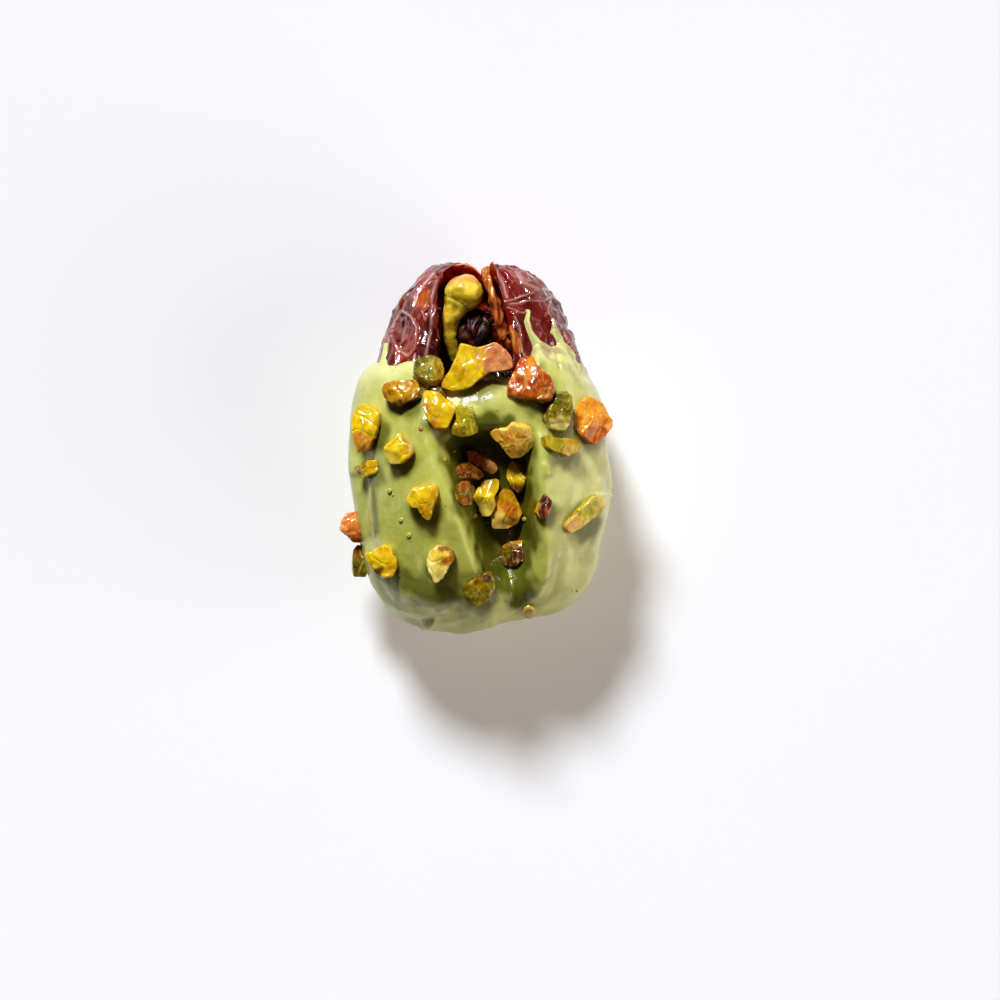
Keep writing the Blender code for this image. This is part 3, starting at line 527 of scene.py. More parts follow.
def makeFibres():
    look = fibreLook
    strand = tubeGrid(look["strandPath"], look["strandRadii"], 40, 110, 0.8, 0.2, 3)
    flap = tubeGrid(look["flapPath"], look["flapRadii"], 28, 50, 0.28, 0.1, 3)
    thread = tubeGrid(look["threadPath"], (0.06, 0.07, 0.06), 10, 24)
    grids = []
    for points in (strand, flap, thread):
        x, y, z = points[..., 0], points[..., 1], points[..., 2]
        rough = 0.12 * waves(x, y, z, 1.5, 63) + 0.05 * waves(x, y * 0.4, z, 0.8, 64)
        if points is thread:
            rough = 0.0 * x
        grids.append(points + normalsOf(points) * rough[..., None])
    vertices, faces = joinGrids(grids)
    tone = smooth(-0.8, 0.8, waves(vertices[:, 0] * 2.0, vertices[:, 1] * 0.5, vertices[:, 2] * 2.0, 1.6, 65))
    material, tree, shader = newMaterial(
        "dateFibre", Roughness=0.24, Subsurface_Weight=0.4, Subsurface_Radius=(1.0, 0.4, 0.12),
        Subsurface_Scale=0.0009, Coat_Weight=0.6, Coat_Roughness=0.08,
    )
    streak = noise(tree, 2600, 3.0, (1.0, 0.18, 1.0), 0.35, 0.7)
    paintShader(tree, shader, blendColour(tree, streak, attribute(tree, "paint"), look["deep"]))
    bump(tree, shader, (noise(tree, 2600, 3.0, (1.0, 0.18, 1.0)), 0.5, 0.0002))
    addPiece("dateFibres", "date", vertices, faces, material, mixTint(look["light"], look["deep"], tone))
    print("fibres:", len(faces), "faces")


# The kernels in the slit
kernelLook = {
    "armPath": (
        (-3.0, 10.9, 14.8), (-3.7, 13.6, 15.6), (-3.45, 16.2, 16.4), (-2.7, 18.1, 16.9), (-2.0, 19.1, 17.0),
    ),
    "armRadii": (0.55, 0.7, 1.1, 1.65, 1.9), "capAxes": (2.35, 2.15, 2.1), "capCentre": (-1.85, 19.2, 17.0),
    "yellow": linear(255, 222, 92), "olive": linear(204, 176, 52), "blush": linear(232, 160, 104),
    "skinAxes": (2.25, 2.9, 1.8), "skinCentre": (-0.6, 14.3, 15.15),
    "purple": linear(92, 34, 26), "black": linear(30, 9, 4), "dust": linear(120, 84, 56),
}


def ovoid(rows, columns, axes):  # an ellipsoid grid, its tips along y
    fall = np.linspace(0.0, np.pi, rows)[:, None]
    turn = np.linspace(0.0, 2.0 * np.pi, columns, endpoint=False)[None, :]
    a, b, c = axes
    return a * np.sin(fall) * np.cos(turn), -b * np.cos(fall) + 0.0 * turn, c * np.sin(fall) * np.sin(turn)


def makeKernels():
    look = kernelLook
    cap = np.stack(ovoid(90, 120, look["capAxes"]), axis=2) + look["capCentre"]
    grids = []
    for points in (cap, tubeGrid(look["armPath"], look["armRadii"], 96, 110)):
        x, y, z = np.moveaxis(points, 2, 0)
        rough = 0.10 * waves(x, y, z, 2.8, 71) + 0.03 * waves(x, y, z, 1.0, 73)
        rough = rough + 0.01 * waves(x, y, z, 0.3, 75)
        points = points + normalsOf(points) * (rough - 0.04)[..., None]
        grids.append(closeTips(points))
    vertices, faces = joinGrids(grids)
    x, y, z = vertices.T
    tone = smooth(-0.6, 0.8, waves(x, y, z, 1.8, 77))
    paint = mixTint(look["yellow"], look["olive"], tone)
    paint = mixTint(paint, look["blush"], 0.7 * smooth(19.6, 20.8, y + 0.3 * waves(x, y, z, 1.0, 79)))
    # painted shade: the arm darker towards its lower end, deep in the slit
    paint = mixTint(paint, look["olive"] * 0.6, 0.7 * smooth(15.5, 11.5, y))
    material, tree, shader = newMaterial(
        "kernelFlesh", Roughness=0.36, Subsurface_Weight=0.4, Subsurface_Radius=(1.0, 0.7, 0.2),
        Subsurface_Scale=0.0009, Coat_Weight=0.25, Coat_Roughness=0.15,
    )
    mottle = math(tree, "MULTIPLY", noise(tree, 1400, 5.0, low=0.45, high=0.8), 0.25)
    paintShader(tree, shader, blendColour(tree, mottle, attribute(tree, "paint"), look["olive"]))
    bump(tree, shader, (noise(tree, 2300, 4.0), 0.3, 0.00015))
    addPiece("kernelHalf", "kernel_half", vertices, faces, material, paint)

    x, y, z = ovoid(110, 150, look["skinAxes"])
    bumps = 1.0 + 0.07 * waves(x, y, z, 1.6, 5)
    wrinkled = 0.98 + 0.06 * creased(x, y * 0.3, z, 1.7, 81, 0.1)
    wrinkled = wrinkled - 0.10 * creased(x, y * 0.25, z, 1.5, 83, 0.05)
    points = np.stack([x * bumps * wrinkled, y * wrinkled, z * bumps * wrinkled], axis=2) + look["skinCentre"]
    closeTips(points)
    tone = smooth(-0.7, 0.7, waves(x, y, z, 1.2, 85))
    material, tree, shader = newMaterial("kernelSkin", Roughness=0.5, Coat_Weight=0.1, Coat_Roughness=0.2)
    dusty = math(tree, "MULTIPLY", noise(tree, 1900, 5.0, (1.0, 0.4, 1.0), 0.5, 0.72), 0.4)
    paintShader(tree, shader, blendColour(tree, dusty, attribute(tree, "paint"), look["dust"]))
    bump(tree, shader, (noise(tree, 2400, 5.0, (1.0, 0.3, 1.0)), 0.6, 0.0002))
    addGrid("kernelInSkin", "kernel_in_skin", points, material, mixTint(look["purple"], look["black"], tone))
    print("kernels made")


# The chopped nuts
nutTints = {
    "yellow": linear(234, 200, 30), "gold": linear(208, 160, 20), "olive": linear(138, 122, 24),
    "green": linear(98, 100, 20), "lime": linear(182, 168, 34),
    "orange": linear(224, 146, 74), "amber": linear(230, 164, 50), "rust": linear(190, 94, 26),
    "brown": linear(150, 86, 16), "darkBrown": linear(88, 44, 16), "pink": linear(212, 142, 98),
    "purple": linear(104, 44, 42), "cream": linear(240, 220, 140), "honey": linear(255, 204, 92),
    "tan": linear(216, 164, 80),
}
# x, y, height in mm, how upright; the outline in plan in steps of 1/8 mm; then main, second and rim tint,
# the rim's direction in plan and how much of it
bigNuts = {
    "nut_slab": ((-0.8, 9.8, 3.2, 0.9), (
        (-12, 23), (4, 19), (15, 21), (22, 24), (32, 17), (38, 8), (40, 1), (39, -3), (26, -5), (17, -5),
        (9, -11), (-1, -20), (-10, -22), (-21, -24), (-32, -20), (-26, -8), (-17, 8),
    ), ("yellow", "gold", "pink", 5, 1.0)),
    "nut_orange": ((6.3, 8.0, 3.8, 0.5), (
        (-14, 12), (-10, 20), (-2, 23), (4, 22), (7, 14), (21, 2), (24, -8), (21, -19), (13, -21), (-1, -19),
        (-24, -16), (-21, -4),
    ), ("rust", "amber", "brown", -40, 0.5)),
    "nut_salmon": ((13.73, 3.1, 3.8, 0.7), (
        (-19, 6), (-14, 17), (-5, 25), (4, 23), (12, 15), (20, 1), (19, -6), (14, -13), (7, -21), (0, -23),
        (-12, -14), (-21, -4),
    ), ("amber", "orange", "rust", -70, 0.8)),
    "nut_tan": ((4.2, 1.2, 3.8, 0.5), (
        (-24, 7), (-18, 11), (-7, 13), (-2, 18), (7, 16), (16, 13), (19, 7), (21, -3), (14, -11), (6, -17),
        (-3, -17), (-8, -11), (-14, -2), (-21, 3),
    ), ("honey", "amber", "cream", 120, 0.6)),
    "nut_flank": ((-13.8, 2.4, 4.2, 0.7), (
        (-13, 8), (-11, 17), (-2, 23), (8, 19), (14, 14), (14, 3), (10, -10), (4, -21), (-7, -26), (-11, -13),
        (-13, -2),
    ), ("yellow", "gold", "orange", -110, 0.8)),
}
smallNuts = (
    ((-6.3, 9.1, 3.6, 0.3), (
        (-13, 10), (-3, 14), (6, 13), (12, 10), (15, 1), (14, -9), (8, -14), (-1, -14), (-9, -9),
        (-15, -3),
    ), ("olive", "green", "gold", -15, 0.7)),
    ((-9.4, 6.5, 3.4, 0.4), (
        (-19, 3), (-16, 9), (-6, 12), (14, 13), (18, 6), (18, -3), (14, -6), (-3, -14), (-16, -6),
    ), ("gold", "brown", "darkBrown", -90, 0.9)),
    ((-4.9, 4.4, 3.8, 0.4), (
        (-16, 17), (-12, 19), (0, 17), (7, 11), (17, 2), (16, -4), (9, -18), (-4, -18), (-11, -10),
        (-15, 1),
    ), ("yellow", "gold", "rust", 205, 0.6)),
    ((-5.2, 6.8, 1.6, 0.3), (
        (-9, 4), (0, 5), (5, 2), (10, -7), (-1, -2),
    ), ("green", "olive", "brown", 0, 0.3)),
    ((-1.6, 3.1, 3.6, 0.4), (
        (-11, 13), (-2, 14), (6, 12), (9, 1), (13, -9), (6, -12), (-4, -14), (-13, -11), (-13, -4),
        (-9, 4),
    ), ("lime", "olive", "gold", 200, 0.5)),
    ((9.7, 4.2, 3.6, 0.4), (
        (-9, 8), (-3, 17), (7, 21), (11, 15), (12, 3), (9, -13), (4, -19), (-8, -17), (-15, -8),
        (-12, 3),
    ), ("olive", "green", "cream", -90, 0.8)),
    ((10.0, 0.2, 2.4, 0.3), (
        (-18, 9), (-14, 11), (-5, 6), (6, 7), (17, 4), (18, -2), (14, -7), (5, -12), (-6, -8), (-15, -2),
    ), ("lime", "gold", "gold", -60, 0.5)),
    ((-9.7, -0.5, 4.0, 0.6), (
        (-14, 4), (-6, 10), (1, 18), (6, 8), (12, 5), (14, -1), (9, -8), (1, -14), (-8, -13), (-13, -5),
    ), ("yellow", "cream", "pink", 0, 0.8)),
    ((-13.5, -2.6, 2.0, 0.5), (
        (-15, 0), (-7, 4), (2, 8), (10, 7), (13, 1), (8, -6), (0, -8), (-6, -11),
    ), ("yellow", "gold", "olive", 180, 0.5)),
    ((-6.7, -6.7, 4.0, 0.7), (
        (-18, 1), (-10, 14), (-1, 15), (13, 16), (14, 7), (10, -4), (5, -20), (0, -17), (-5, -7),
        (-12, -6),
    ), ("yellow", "gold", "gold", -90, 0.5)),
    ((-11.9, -14.1, 4.4, 0.8), (
        (-17, 7), (-7, 11), (4, 16), (10, 12), (15, 2), (15, -7), (11, -16), (2, -17), (-5, -13),
        (-11, -3),
    ), ("yellow", "gold", "purple", -115, 0.9)),
    ((-5.2, -14.2, 3.8, 0.7), (
        (-10, 3), (-7, 10), (2, 17), (11, 15), (18, 10), (18, 3), (13, -3), (6, -16), (-2, -21),
        (-9, -5),
    ), ("cream", "yellow", "brown", 20, 0.9)),
    ((0.0, -17.5, 3.2, 0.6), (
        (-17, -3), (-12, 6), (-2, 12), (9, 19), (13, 13), (15, 2), (8, -9), (-3, -18), (-9, -12),
    ), ("olive", "gold", "darkBrown", 90, 0.8)),
    ((4.2, -13.4, 2.8, 0.4), (
        (-16, -4), (-8, 6), (1, 13), (12, 14), (13, 4), (16, -6), (7, -12), (-3, -13), (-10, -8),
    ), ("darkBrown", "olive", "gold", 90, 0.6)),
    ((0.1, -1.6, 3.0, 0.5), (
        (-16, 9), (-7, 10), (4, 4), (13, -2), (18, -8), (13, -14), (4, -10), (-4, -4), (-11, 0),
    ), ("rust", "gold", "honey", 0, 0.5)),
    ((-1.7, -3.3, 3.0, 0.5), (
        (-16, -1), (-11, 6), (0, 11), (7, 6), (17, -2), (11, -7), (0, -6), (-11, -7),
    ), ("brown", "gold", "amber", 60, 0.6)),
    ((-2.2, -5.9, 2.2, 0.4), (
        (-11, -2), (-6, 3), (-5, 10), (2, 12), (10, 6), (8, -3), (7, -12), (-2, -12),
    ), ("olive", "brown", "rust", 90, 0.7)),
    ((0.6, -6.3, 4.0, 0.6), (
        (-12, -1), (-7, 11), (-1, 18), (13, 18), (13, 10), (8, 1), (10, -8), (4, -18), (-3, -18),
        (-8, -8),
    ), ("yellow", "lime", "cream", -90, 0.5)),
    ((3.4, -7.8, 4.0, 0.6), (
        (-14, 11), (-4, 21), (6, 18), (12, 6), (16, -2), (11, -13), (0, -18), (-15, -18), (-16, -7),
        (-11, 4),
    ), ("gold", "rust", "cream", 215, 0.6)),
    ((4.9, -3.8, 3.2, 0.5), (
        (-9, 1), (-8, 12), (-5, 17), (4, 9), (10, -1), (7, -10), (2, -16), (-4, -10),
    ), ("yellow", "cream", "purple", -80, 0.8)),
    ((8.0, -7.4, 1.8, 0.3), (
        (-9, -6), (-6, 2), (1, 12), (6, 6), (6, -3), (2, -9), (-5, -12),
    ), ("purple", "rust", "yellow", 190, 0.8)),
    ((12.9, -8.4, 2.2, 0.4), (
        (-21, -11), (-13, -2), (-2, 10), (9, 19), (18, 19), (20, 12), (16, 3), (4, -6), (-6, -14),
        (-16, -19),
    ), ("lime", "cream", "tan", 215, 0.8)),
)
flankNuts = (  # on the left flank: the height of their middle in place of how upright
    ((-15.85, -10.1, 2.8, 12.2), (
        (-11, 8), (-5, 15), (5, 16), (10, 9), (11, -6), (8, -15), (1, -14), (-6, -8), (-12, -2),
    ), ("orange", "pink", "brown", -80, 0.8)),
    ((-15.0, -14.4, 2.4, 11.0), (
        (-6, 12), (-1, 18), (1, 14), (5, 3), (7, -6), (6, -15), (-6, -15), (-7, -1),
    ), ("olive", "darkBrown", "brown", 90, 0.8)),
)
nutForm = {
    "step": 0.125, "sink": 0.29, "squareness": 5.0, "slabLift": 2.9, "lower": -0.14,
    # the planes that cut the top, then the rim: how many, slope, start and wear
    "planes": ((3, (0.1, 0.4), (0.78, 1.0), 0.12), (5, (0.35, 0.6), (1.1, 1.25), 0.06)),
    "smallGrid": (50, 80), "bigGrid": (76, 130),
}


def outlineRadius(outline, angle):  # how far the outline is from its middle at each angle
    corners = np.array(outline, float) * nutForm["step"]
    corners = corners[np.argsort(np.arctan2(corners[:, 1], corners[:, 0]))]
    bearing = np.arctan2(corners[:, 1], corners[:, 0])
    at = np.searchsorted(bearing, angle, side="right") - 1
    a, b = corners[at], corners[(at + 1) % len(corners)]
    side = b - a
    cross = a[..., 0] * side[..., 1] - a[..., 1] * side[..., 0]
    return cross / (np.cos(angle) * side[..., 1] - np.sin(angle) * side[..., 0])


def outlineReach(outline):  # about how far it reaches from its middle
    return np.abs(np.array(outline, float)).mean() * nutForm["step"] * 1.5


def nutSurface(middle, out, outline, height, seed, rows, columns):
    # the outline carried up a squarish section, |level|^n + |across|^n = 1, its top cut by slanting planes
    n = nutForm["squareness"]
    fine = np.linspace(0.0, np.pi, 3000)
    section = (1.0 - np.abs(np.cos(fine)) ** n) ** (1.0 / n)
    run = np.concatenate([[0.0], np.cumsum(np.hypot(np.diff(section), np.diff(np.cos(fine))))])
    fall = np.interp(np.linspace(0.0, run[-1], rows), run, fine)[:, None]
    angle = np.linspace(-np.pi, np.pi, columns, endpoint=False)[None, :] + 1e-6
    across = (1.0 - np.abs(np.cos(fall)) ** n) ** (1.0 / n)
    radius = outlineRadius(outline, angle)
    radius = (np.roll(radius, 1, axis=1) + 2.0 * radius + np.roll(radius, -1, axis=1)) / 4.0
    x, y = radius * across * np.cos(angle), radius * across * np.sin(angle)
    half = height / 2.0
    z = np.cos(fall) * half + 0.0 * x
    rng = np.random.RandomState(seed)
    reach = outlineReach(outline)
    for count, slopes, starts, wear in nutForm["planes"]:
        for turn in rng.uniform(0, 2.0 * np.pi) + np.arange(count) * 2.0 * np.pi / count:
            slope, start = rng.uniform(*slopes), rng.uniform(*starts)
            plane = half * (start + slope * (x * np.cos(turn) + y * np.sin(turn)) / reach)
            z = -smoothMax(-z, -plane, wear)
    z = np.maximum(z, -half)
    level = -(out[0] * x + out[1] * y) / out[2]
    points = middle + np.stack([x, y, level], axis=2) + z[..., None] * out
    x, y, z = np.moveaxis(points, 2, 0)
    chips = 0.06 * waves(x, y, z, 2.4, seed + 7) - 0.08 * creased(x, y, z, 3.0, seed + 9, 0.02)
    grain = 0.012 * waves(x, y, z, 0.7, seed + 11) + 0.06 * creased(x, y * 0.45, z, 1.5, seed + 13, 0.06)
    # the grid runs from the top down, so its normals point in
    points = points - normalsOf(points) * (chips + grain + 0.02)[..., None] * min(1.0, height / 2.0)
    return closeTips(points)


def nutPaint(points, place, tints, seed):  # two tints in soft patches, and a rim tint on one side
    main, second, rim, side, amount = tints
    x, y, z = np.moveaxis(points, 2, 0)
    patches = 0.7 * smooth(0.0, 1.2, waves(x, y, z, 3.0, seed + 15))
    paint = mixTint(nutTints[main], nutTints[second], patches)
    away = points - place
    away = away / np.maximum(np.linalg.norm(away, axis=2, keepdims=True), 1e-9)
    towards = away[..., 0] * np.cos(np.radians(side)) + away[..., 1] * np.sin(np.radians(side))
    towards = towards + 0.2 * waves(x, y, z, 1.4, seed + 17)
    paint = mixTint(paint, nutTints[rim], amount * smooth(0.3, 0.75, towards))
    # painted shade: darker, richer colour on each nut's underside; the patches from the waves are random tone
    shadeBelowAndPatches = 0.75 * smooth(0.25, -0.3, away[..., 2]) + 0.45 * smooth(0.2, 1.1, waves(x, y, z, 1.3, seed + 21))
    paint = mixTint(paint, paint**1.9, np.clip(shadeBelowAndPatches, 0.0, 0.85))
    paint = mixTint(paint, nutTints["cream"], 0.35 * creased(x * 1.5, y * 0.5, z, 1.3, seed + 23, 0.02))
    shade = 0.95 + 0.2 * smooth(-1.0, 1.0, waves(x, y, z, 1.2, seed + 19))
    return np.clip(paint * shade[..., None], 0.0, 1.0)


def setOn(grid, normals, x, y, height, upright, lift=0.0):
    # a nut's middle, sunk into the upper side of the coating, and the way it faces
    points, normals = grid.reshape(-1, 3), normals.reshape(-1, 3)
    at = int(np.argmin(np.hypot(points[:, 0] - x, points[:, 1] - y) + 1e3 * (points[:, 2] < centreZ)))
    out = normals[at]
    z = points[at, 2] - ((x - points[at, 0]) * out[0] + (y - points[at, 1]) * out[1]) / out[2]
    out = out * (1.0 - upright) + np.array((0.0, 0.0, upright))
    out /= np.linalg.norm(out)
    return np.array((x, y, z + height * (0.5 - nutForm["sink"]) + lift)), out


def nutMaterial():
    material, tree, shader = newMaterial(
        "nutFlesh", Roughness=0.3, Subsurface_Weight=0.35, Subsurface_Radius=(1.0, 0.75, 0.15),
        Subsurface_Scale=0.0006, Coat_Weight=0.8, Coat_Roughness=0.05,
    )
    veins = math(tree, "MULTIPLY", noise(tree, 900, 4.0, (1.0, 0.5, 1.0), 0.5, 0.8), 0.25)
    grains = math(tree, "MULTIPLY", noise(tree, 4200, 2.0, low=0.64, high=0.82), 0.35)
    tinted = blendColour(tree, veins, attribute(tree, "paint"), linear(150, 92, 24))
    paintShader(tree, shader, blendColour(tree, grains, tinted, linear(246, 224, 150)))
    bump(tree, shader, (noise(tree, 1100, 4.0), 0.22, 0.0002), (noise(tree, 4600, 3.0), 0.12, 0.0001))
    return material


def makeNuts(coarse):
    normals, flesh = normalsOf(coarse), nutMaterial()
    grids, paints, places, lower = [], [], [], nutForm["lower"]
    for k, (spot, outline, tints) in enumerate(smallNuts):
        places.append((setOn(coarse, normals, *spot, lower), spot[2], outline, tints, 100 + k))
    for k, ((x, y, height, z), outline, tints) in enumerate(flankNuts):
        places.append(((np.array((x, y, z)), np.array((0.0, 0.0, 1.0))), height, outline, tints, 200 + k))
    for (middle, out), height, outline, tints, seed in places:
        points = nutSurface(middle, out, outline, height, seed, *nutForm["smallGrid"])
        grids.append(points)
        paints.append(gridVertices(nutPaint(points, middle, tints, seed)))
    vertices, faces = joinGrids(grids)
    addPiece("choppedNuts", "coating", vertices, faces, flesh, np.vstack(paints))
    for k, (name, (spot, outline, tints)) in enumerate(bigNuts.items()):
        lift = nutForm["slabLift"] if name == "nut_slab" else 0.0
        middle, out = setOn(coarse, normals, *spot, lower + lift)
        points = nutSurface(middle, out, outline, spot[2], 300 + k, *nutForm["bigGrid"])
        words = name.split("_")
        paint = nutPaint(points, middle, tints, 300 + k)
        addGrid(words[0] + words[1].title(), name, points, flesh, paint)
    print("nuts:", len(grids) + len(bigNuts))
    return [(spot[0], spot[1], outlineReach(outline)) for spot, outline, _ in (*smallNuts, *bigNuts.values())]


# The coating
coatLook = {
    "thickness": 2.25, "rimY": 10.3, "bead": 0.55, "gap": 0.15, "collar": 0.16,
    # rows below, in and past the rim's zone; grids of the date's room and of the plain coat that nuts sit on
    "rimZone": (7.0, 17.6), "rows": (138, 104, 12), "rounds": 372,
    "roomGrid": (120, 120, 24), "coarseGrid": (42, 52),
    "fingers": (  # the rim's drips up the date: path in plan, radii
        (((8.2, 11.7), (7.1, 12.8), (6.25, 14.05), (5.9, 15.5), (6.15, 16.9)), (1.0, 0.6, 0.42, 0.33, 0.18)),
        (((11.0, 11.2), (10.3, 12.6), (9.3, 14.3), (8.95, 15.8)), (0.9, 0.55, 0.32, 0.14)),
        (((-11.9, 9.6), (-11.8, 10.8), (-11.7, 11.8), (-11.6, 12.8)), (0.6, 0.3, 0.2, 0.12)),
    ),
    # the deep green is painted shade; the pale tint also carries painted light
    "pistachio": linear(202, 200, 116), "paintedShadeGreen": linear(96, 98, 12), "speck": linear(104, 112, 22),
    "thinTint": linear(166, 118, 104), "pale": linear(226, 224, 164),
    # where painted shade goes: the trench, the hollow low on the left and the groove; between them, lines of
    # painted sheen
    "trench": (
        ((0.3, 0.0), (0.9, -2.4), (2.0, -6.2), (3.4, -11.0), (3.4, -14.4), (4.9, -18.0)),
        (4.6, 5.2, 4.9, 4.1, 3.6, 2.0),
    ),
    "hollow": (((-9.6, -16.2), (-6.6, -17.9), (-3.4, -18.6)), (1.3, 1.9, 1.2)),
    "sheenLines": (
        ((-12.8, -15.2), (-11.4, -18.0), (-8.8, -20.2), (-5.0, -21.4)),
        ((-11.6, -16.8), (-9.8, -18.9), (-7.0, -20.0), (-3.8, -20.6)),
        ((9.0, -13.5), (8.6, -16.0), (7.6, -18.4)), ((13.4, -4.0), (13.6, -8.0), (12.8, -12.0)),
        ((14.6, 0.5), (14.9, -3.5), (14.6, -6.5)), ((11.0, -9.5), (10.2, -12.5), (9.4, -15.0)),
    ),
    "groove": ((-13.3, -3.6), (-13.1, -6.0), (-12.9, -8.4), (-12.7, -10.6)),
}
# wavy folds low on the left and short runs elsewhere: path in plan, height, width
coatFolds = (
    (((-13.4, -14.6), (-12.4, -17.4), (-10.2, -19.6), (-6.6, -21.4)), 0.75, 0.34),
    (((-12.4, -15.6), (-11.2, -18.2), (-8.8, -20.0), (-6.2, -20.8), (-3.6, -20.6)), -0.75, 0.32),
    (((-11.2, -16.4), (-9.6, -18.6), (-7.4, -19.4), (-5.2, -19.2)), 0.7, 0.32),
    (coatLook["groove"], -0.6, 0.45),
    (((-10.6, -15.4), (-8.6, -17.4), (-5.6, -18.6), (-2.6, -18.8)), -0.55, 1.3),
    (((-12.6, -17.4), (-9.6, -20.0), (-6.0, -21.0), (-2.4, -20.8), (1.4, -20.2)), 0.5, 0.8),
    (((-12.4, -3.8), (-12.2, -6.4), (-12.3, -9.6)), 0.25, 0.35),
    (((3.0, -15.6), (3.3, -18.0)), 0.25, 0.35),
    (((4.4, -15.0), (4.6, -17.6)), 0.22, 0.35),
    (((14.9, 1.6), (15.0, -4.2)), -0.35, 0.45),
    (((13.6, -1.4), (14.2, -6.0)), 0.22, 0.4),
    (((-3.4, -4.6), (-1.6, -9.2), (0.2, -13.4)), 0.2, 0.5),
    (((12.0, -6.2), (13.8, -6.0), (14.3, -6.9)), 0.3, 0.3),
    (((7.3, -2.4), (7.4, -3.2)), 0.3, 0.5),
)


def rimLine(x, upper):  # the y where the coating ends
    overSlit = -1.8 * smooth(-6.2, -4.6, x) * smooth(6.4, 4.6, x)
    cheek = 2.3 * smooth(5.8, 7.0, x) * smooth(12.6, 9.6, x)
    return coatLook["rimY"] + 0.25 * np.sin(1.3 * x) + (overSlit + cheek) * upper


def coatInside(x, y, upper):  # how far inside the rim a point is, drips and all
    inside = rimLine(x, upper) - y
    for path, radii in coatLook["fingers"]:
        gap, radius = alongPath(x, y, path, radii)
        inside = smoothMax(inside, np.where(upper > 0.5, radius - gap, -9.0), 0.45)
    return inside


def coatThick(x, y, z, fine=False):  # a bead at the rim, then fuller, and below the skin past the rim
    upper = smooth(0.0, 3.0, z - centreZ)
    inside = coatInside(x, y, upper) if fine else rimLine(x, upper) - y
    bead = coatLook["bead"] * np.sqrt(1.0 - (1.0 - np.clip(inside / 0.5, 0.0, 1.0)) ** 2)
    thin = 0.2 + 1.5 * smooth(9.0, 13.0, x)
    body = (coatLook["thickness"] - coatLook["bead"]) * (1.0 - np.exp(-np.maximum(inside - thin, 0.0) / 2.2))
    bridge = 0.9 * np.exp(-((x - 2.2) ** 2) / 14.0 - (y - 5.6) ** 2 / 6.0) * upper * smooth(0.0, 1.5, inside)
    under = 0.35 * smooth(0.0, -4.0, z - centreZ) * smooth(0.0, 2.0, inside)
    past = np.clip(inside, -1.2, 0.0)
    lumps = 0.22 * waves(x, y, z, 9.0, 21) * smooth(0.5, 3.0, inside)
    return bead + body + bridge + under + past + lumps


def coatRidges(x, y, z):  # ridges beside the trench and grooves down the flanks
    upper = smooth(1.0, 5.0, z - centreZ)
    leftRidge = alongPath(x, y, ((-6.6, 2.4), (-4.6, -4.9), (-2.4, -9.3), (-1.0, -14.0)))[0]
    rightRidge = alongPath(x, y, ((7.8, 1.0), (7.4, -8.0), (8.0, -12.6), (6.8, -17.2)))[0]
    leftGroove = alongPath(x, y, ((-13.1, 0.8), (-12.8, -6.0), (-12.2, -11.0)))[0]
    hollow = np.exp(-((x - 11.0) ** 2) / 8.0 - (y + 12.5) ** 2 / 14.0)
    ridges = 0.7 * np.exp(-(leftRidge**2) / 3.0) + 0.6 * np.exp(-(rightRidge**2) / 1.6)
    return upper * (ridges - 0.9 * np.exp(-(leftGroove**2) / 0.8) - 0.5 * hollow)


def coatDetail(x, y, z, spots):  # folds, small lumps, and a collar drawn up round each nut
    upper = smooth(-1.0, 3.0, z - centreZ)
    inside = smooth(0.4, 1.6, rimLine(x, upper) - y)
    total = 0.09 * waves(x, y * 0.6, z, 3.2, 23) + 0.022 * waves(x, y * 0.5, z, 1.4, 25)
    for path, height, width in coatFolds:
        gap, _ = alongPath(x, y, path)
        total = total + upper * height * hill(gap, width)
    for cx, cy, radius in spots:
        gap = np.hypot(x - cx, y - cy) / (radius * 1.05)
        total = total + coatLook["collar"] * upper * np.exp(-(gap**4))
    return total * inside - 0.14 * smooth(-18.5, -20.3, y) - 0.3 * smooth(12.3, 13.7, x)


def coatGrid(stations, rounds, spots=None):  # the coating's outside, its foot flat on the floor
    y = stations[:, None]
    even = np.linspace(0.0, 2.0 * np.pi, rounds, endpoint=False)[None, :]
    x, z = hull(y, even - 0.45 * np.sin(even))
    full = np.broadcast_to(y, x.shape)
    sag = dent(x, full) * smooth(0.0, dateForm["dentFade"], z - centreZ)
    points = np.stack([x, notched(x, full, z), z], axis=2)
    thick = coatThick(x, full, z, spots is not None) + coatRidges(x, full, z)
    if spots is not None:
        thick = thick + coatDetail(x, full, z, spots) + 0.8 * skinRelief(x, full, z)
    points = points + normalsOf(points) * thick[..., None]
    x, y, z = points[..., 0], points[..., 1], points[..., 2] - sag
    points = np.stack([x, slanted(x, y), np.maximum(z, 0.0)], axis=2)
    return closeTips(points)


def largestBody(mesh):  # vertices and faces of the mesh's largest connected body
    edges = np.empty(len(mesh.edges) * 2, int)
    mesh.edges.foreach_get("vertices", edges)
    a, b = edges.reshape(-1, 2).T
    label, before = np.arange(len(mesh.vertices)), None
    while before is None or (label != before).any():
        before = label.copy()
        low = np.minimum(label[a], label[b])
        np.minimum.at(label, a, low)
        np.minimum.at(label, b, low)
        label = label[label]
    keep = label == np.bincount(label).argmax()
    place = np.empty(len(mesh.vertices) * 3)
    mesh.vertices.foreach_get("co", place)
    number = np.cumsum(keep) - 1
    faces = [number[list(p.vertices)].tolist() for p in mesh.polygons if keep[p.vertices[0]]]
    return place.reshape(-1, 3)[keep] * 1000.0 - placeShift, faces


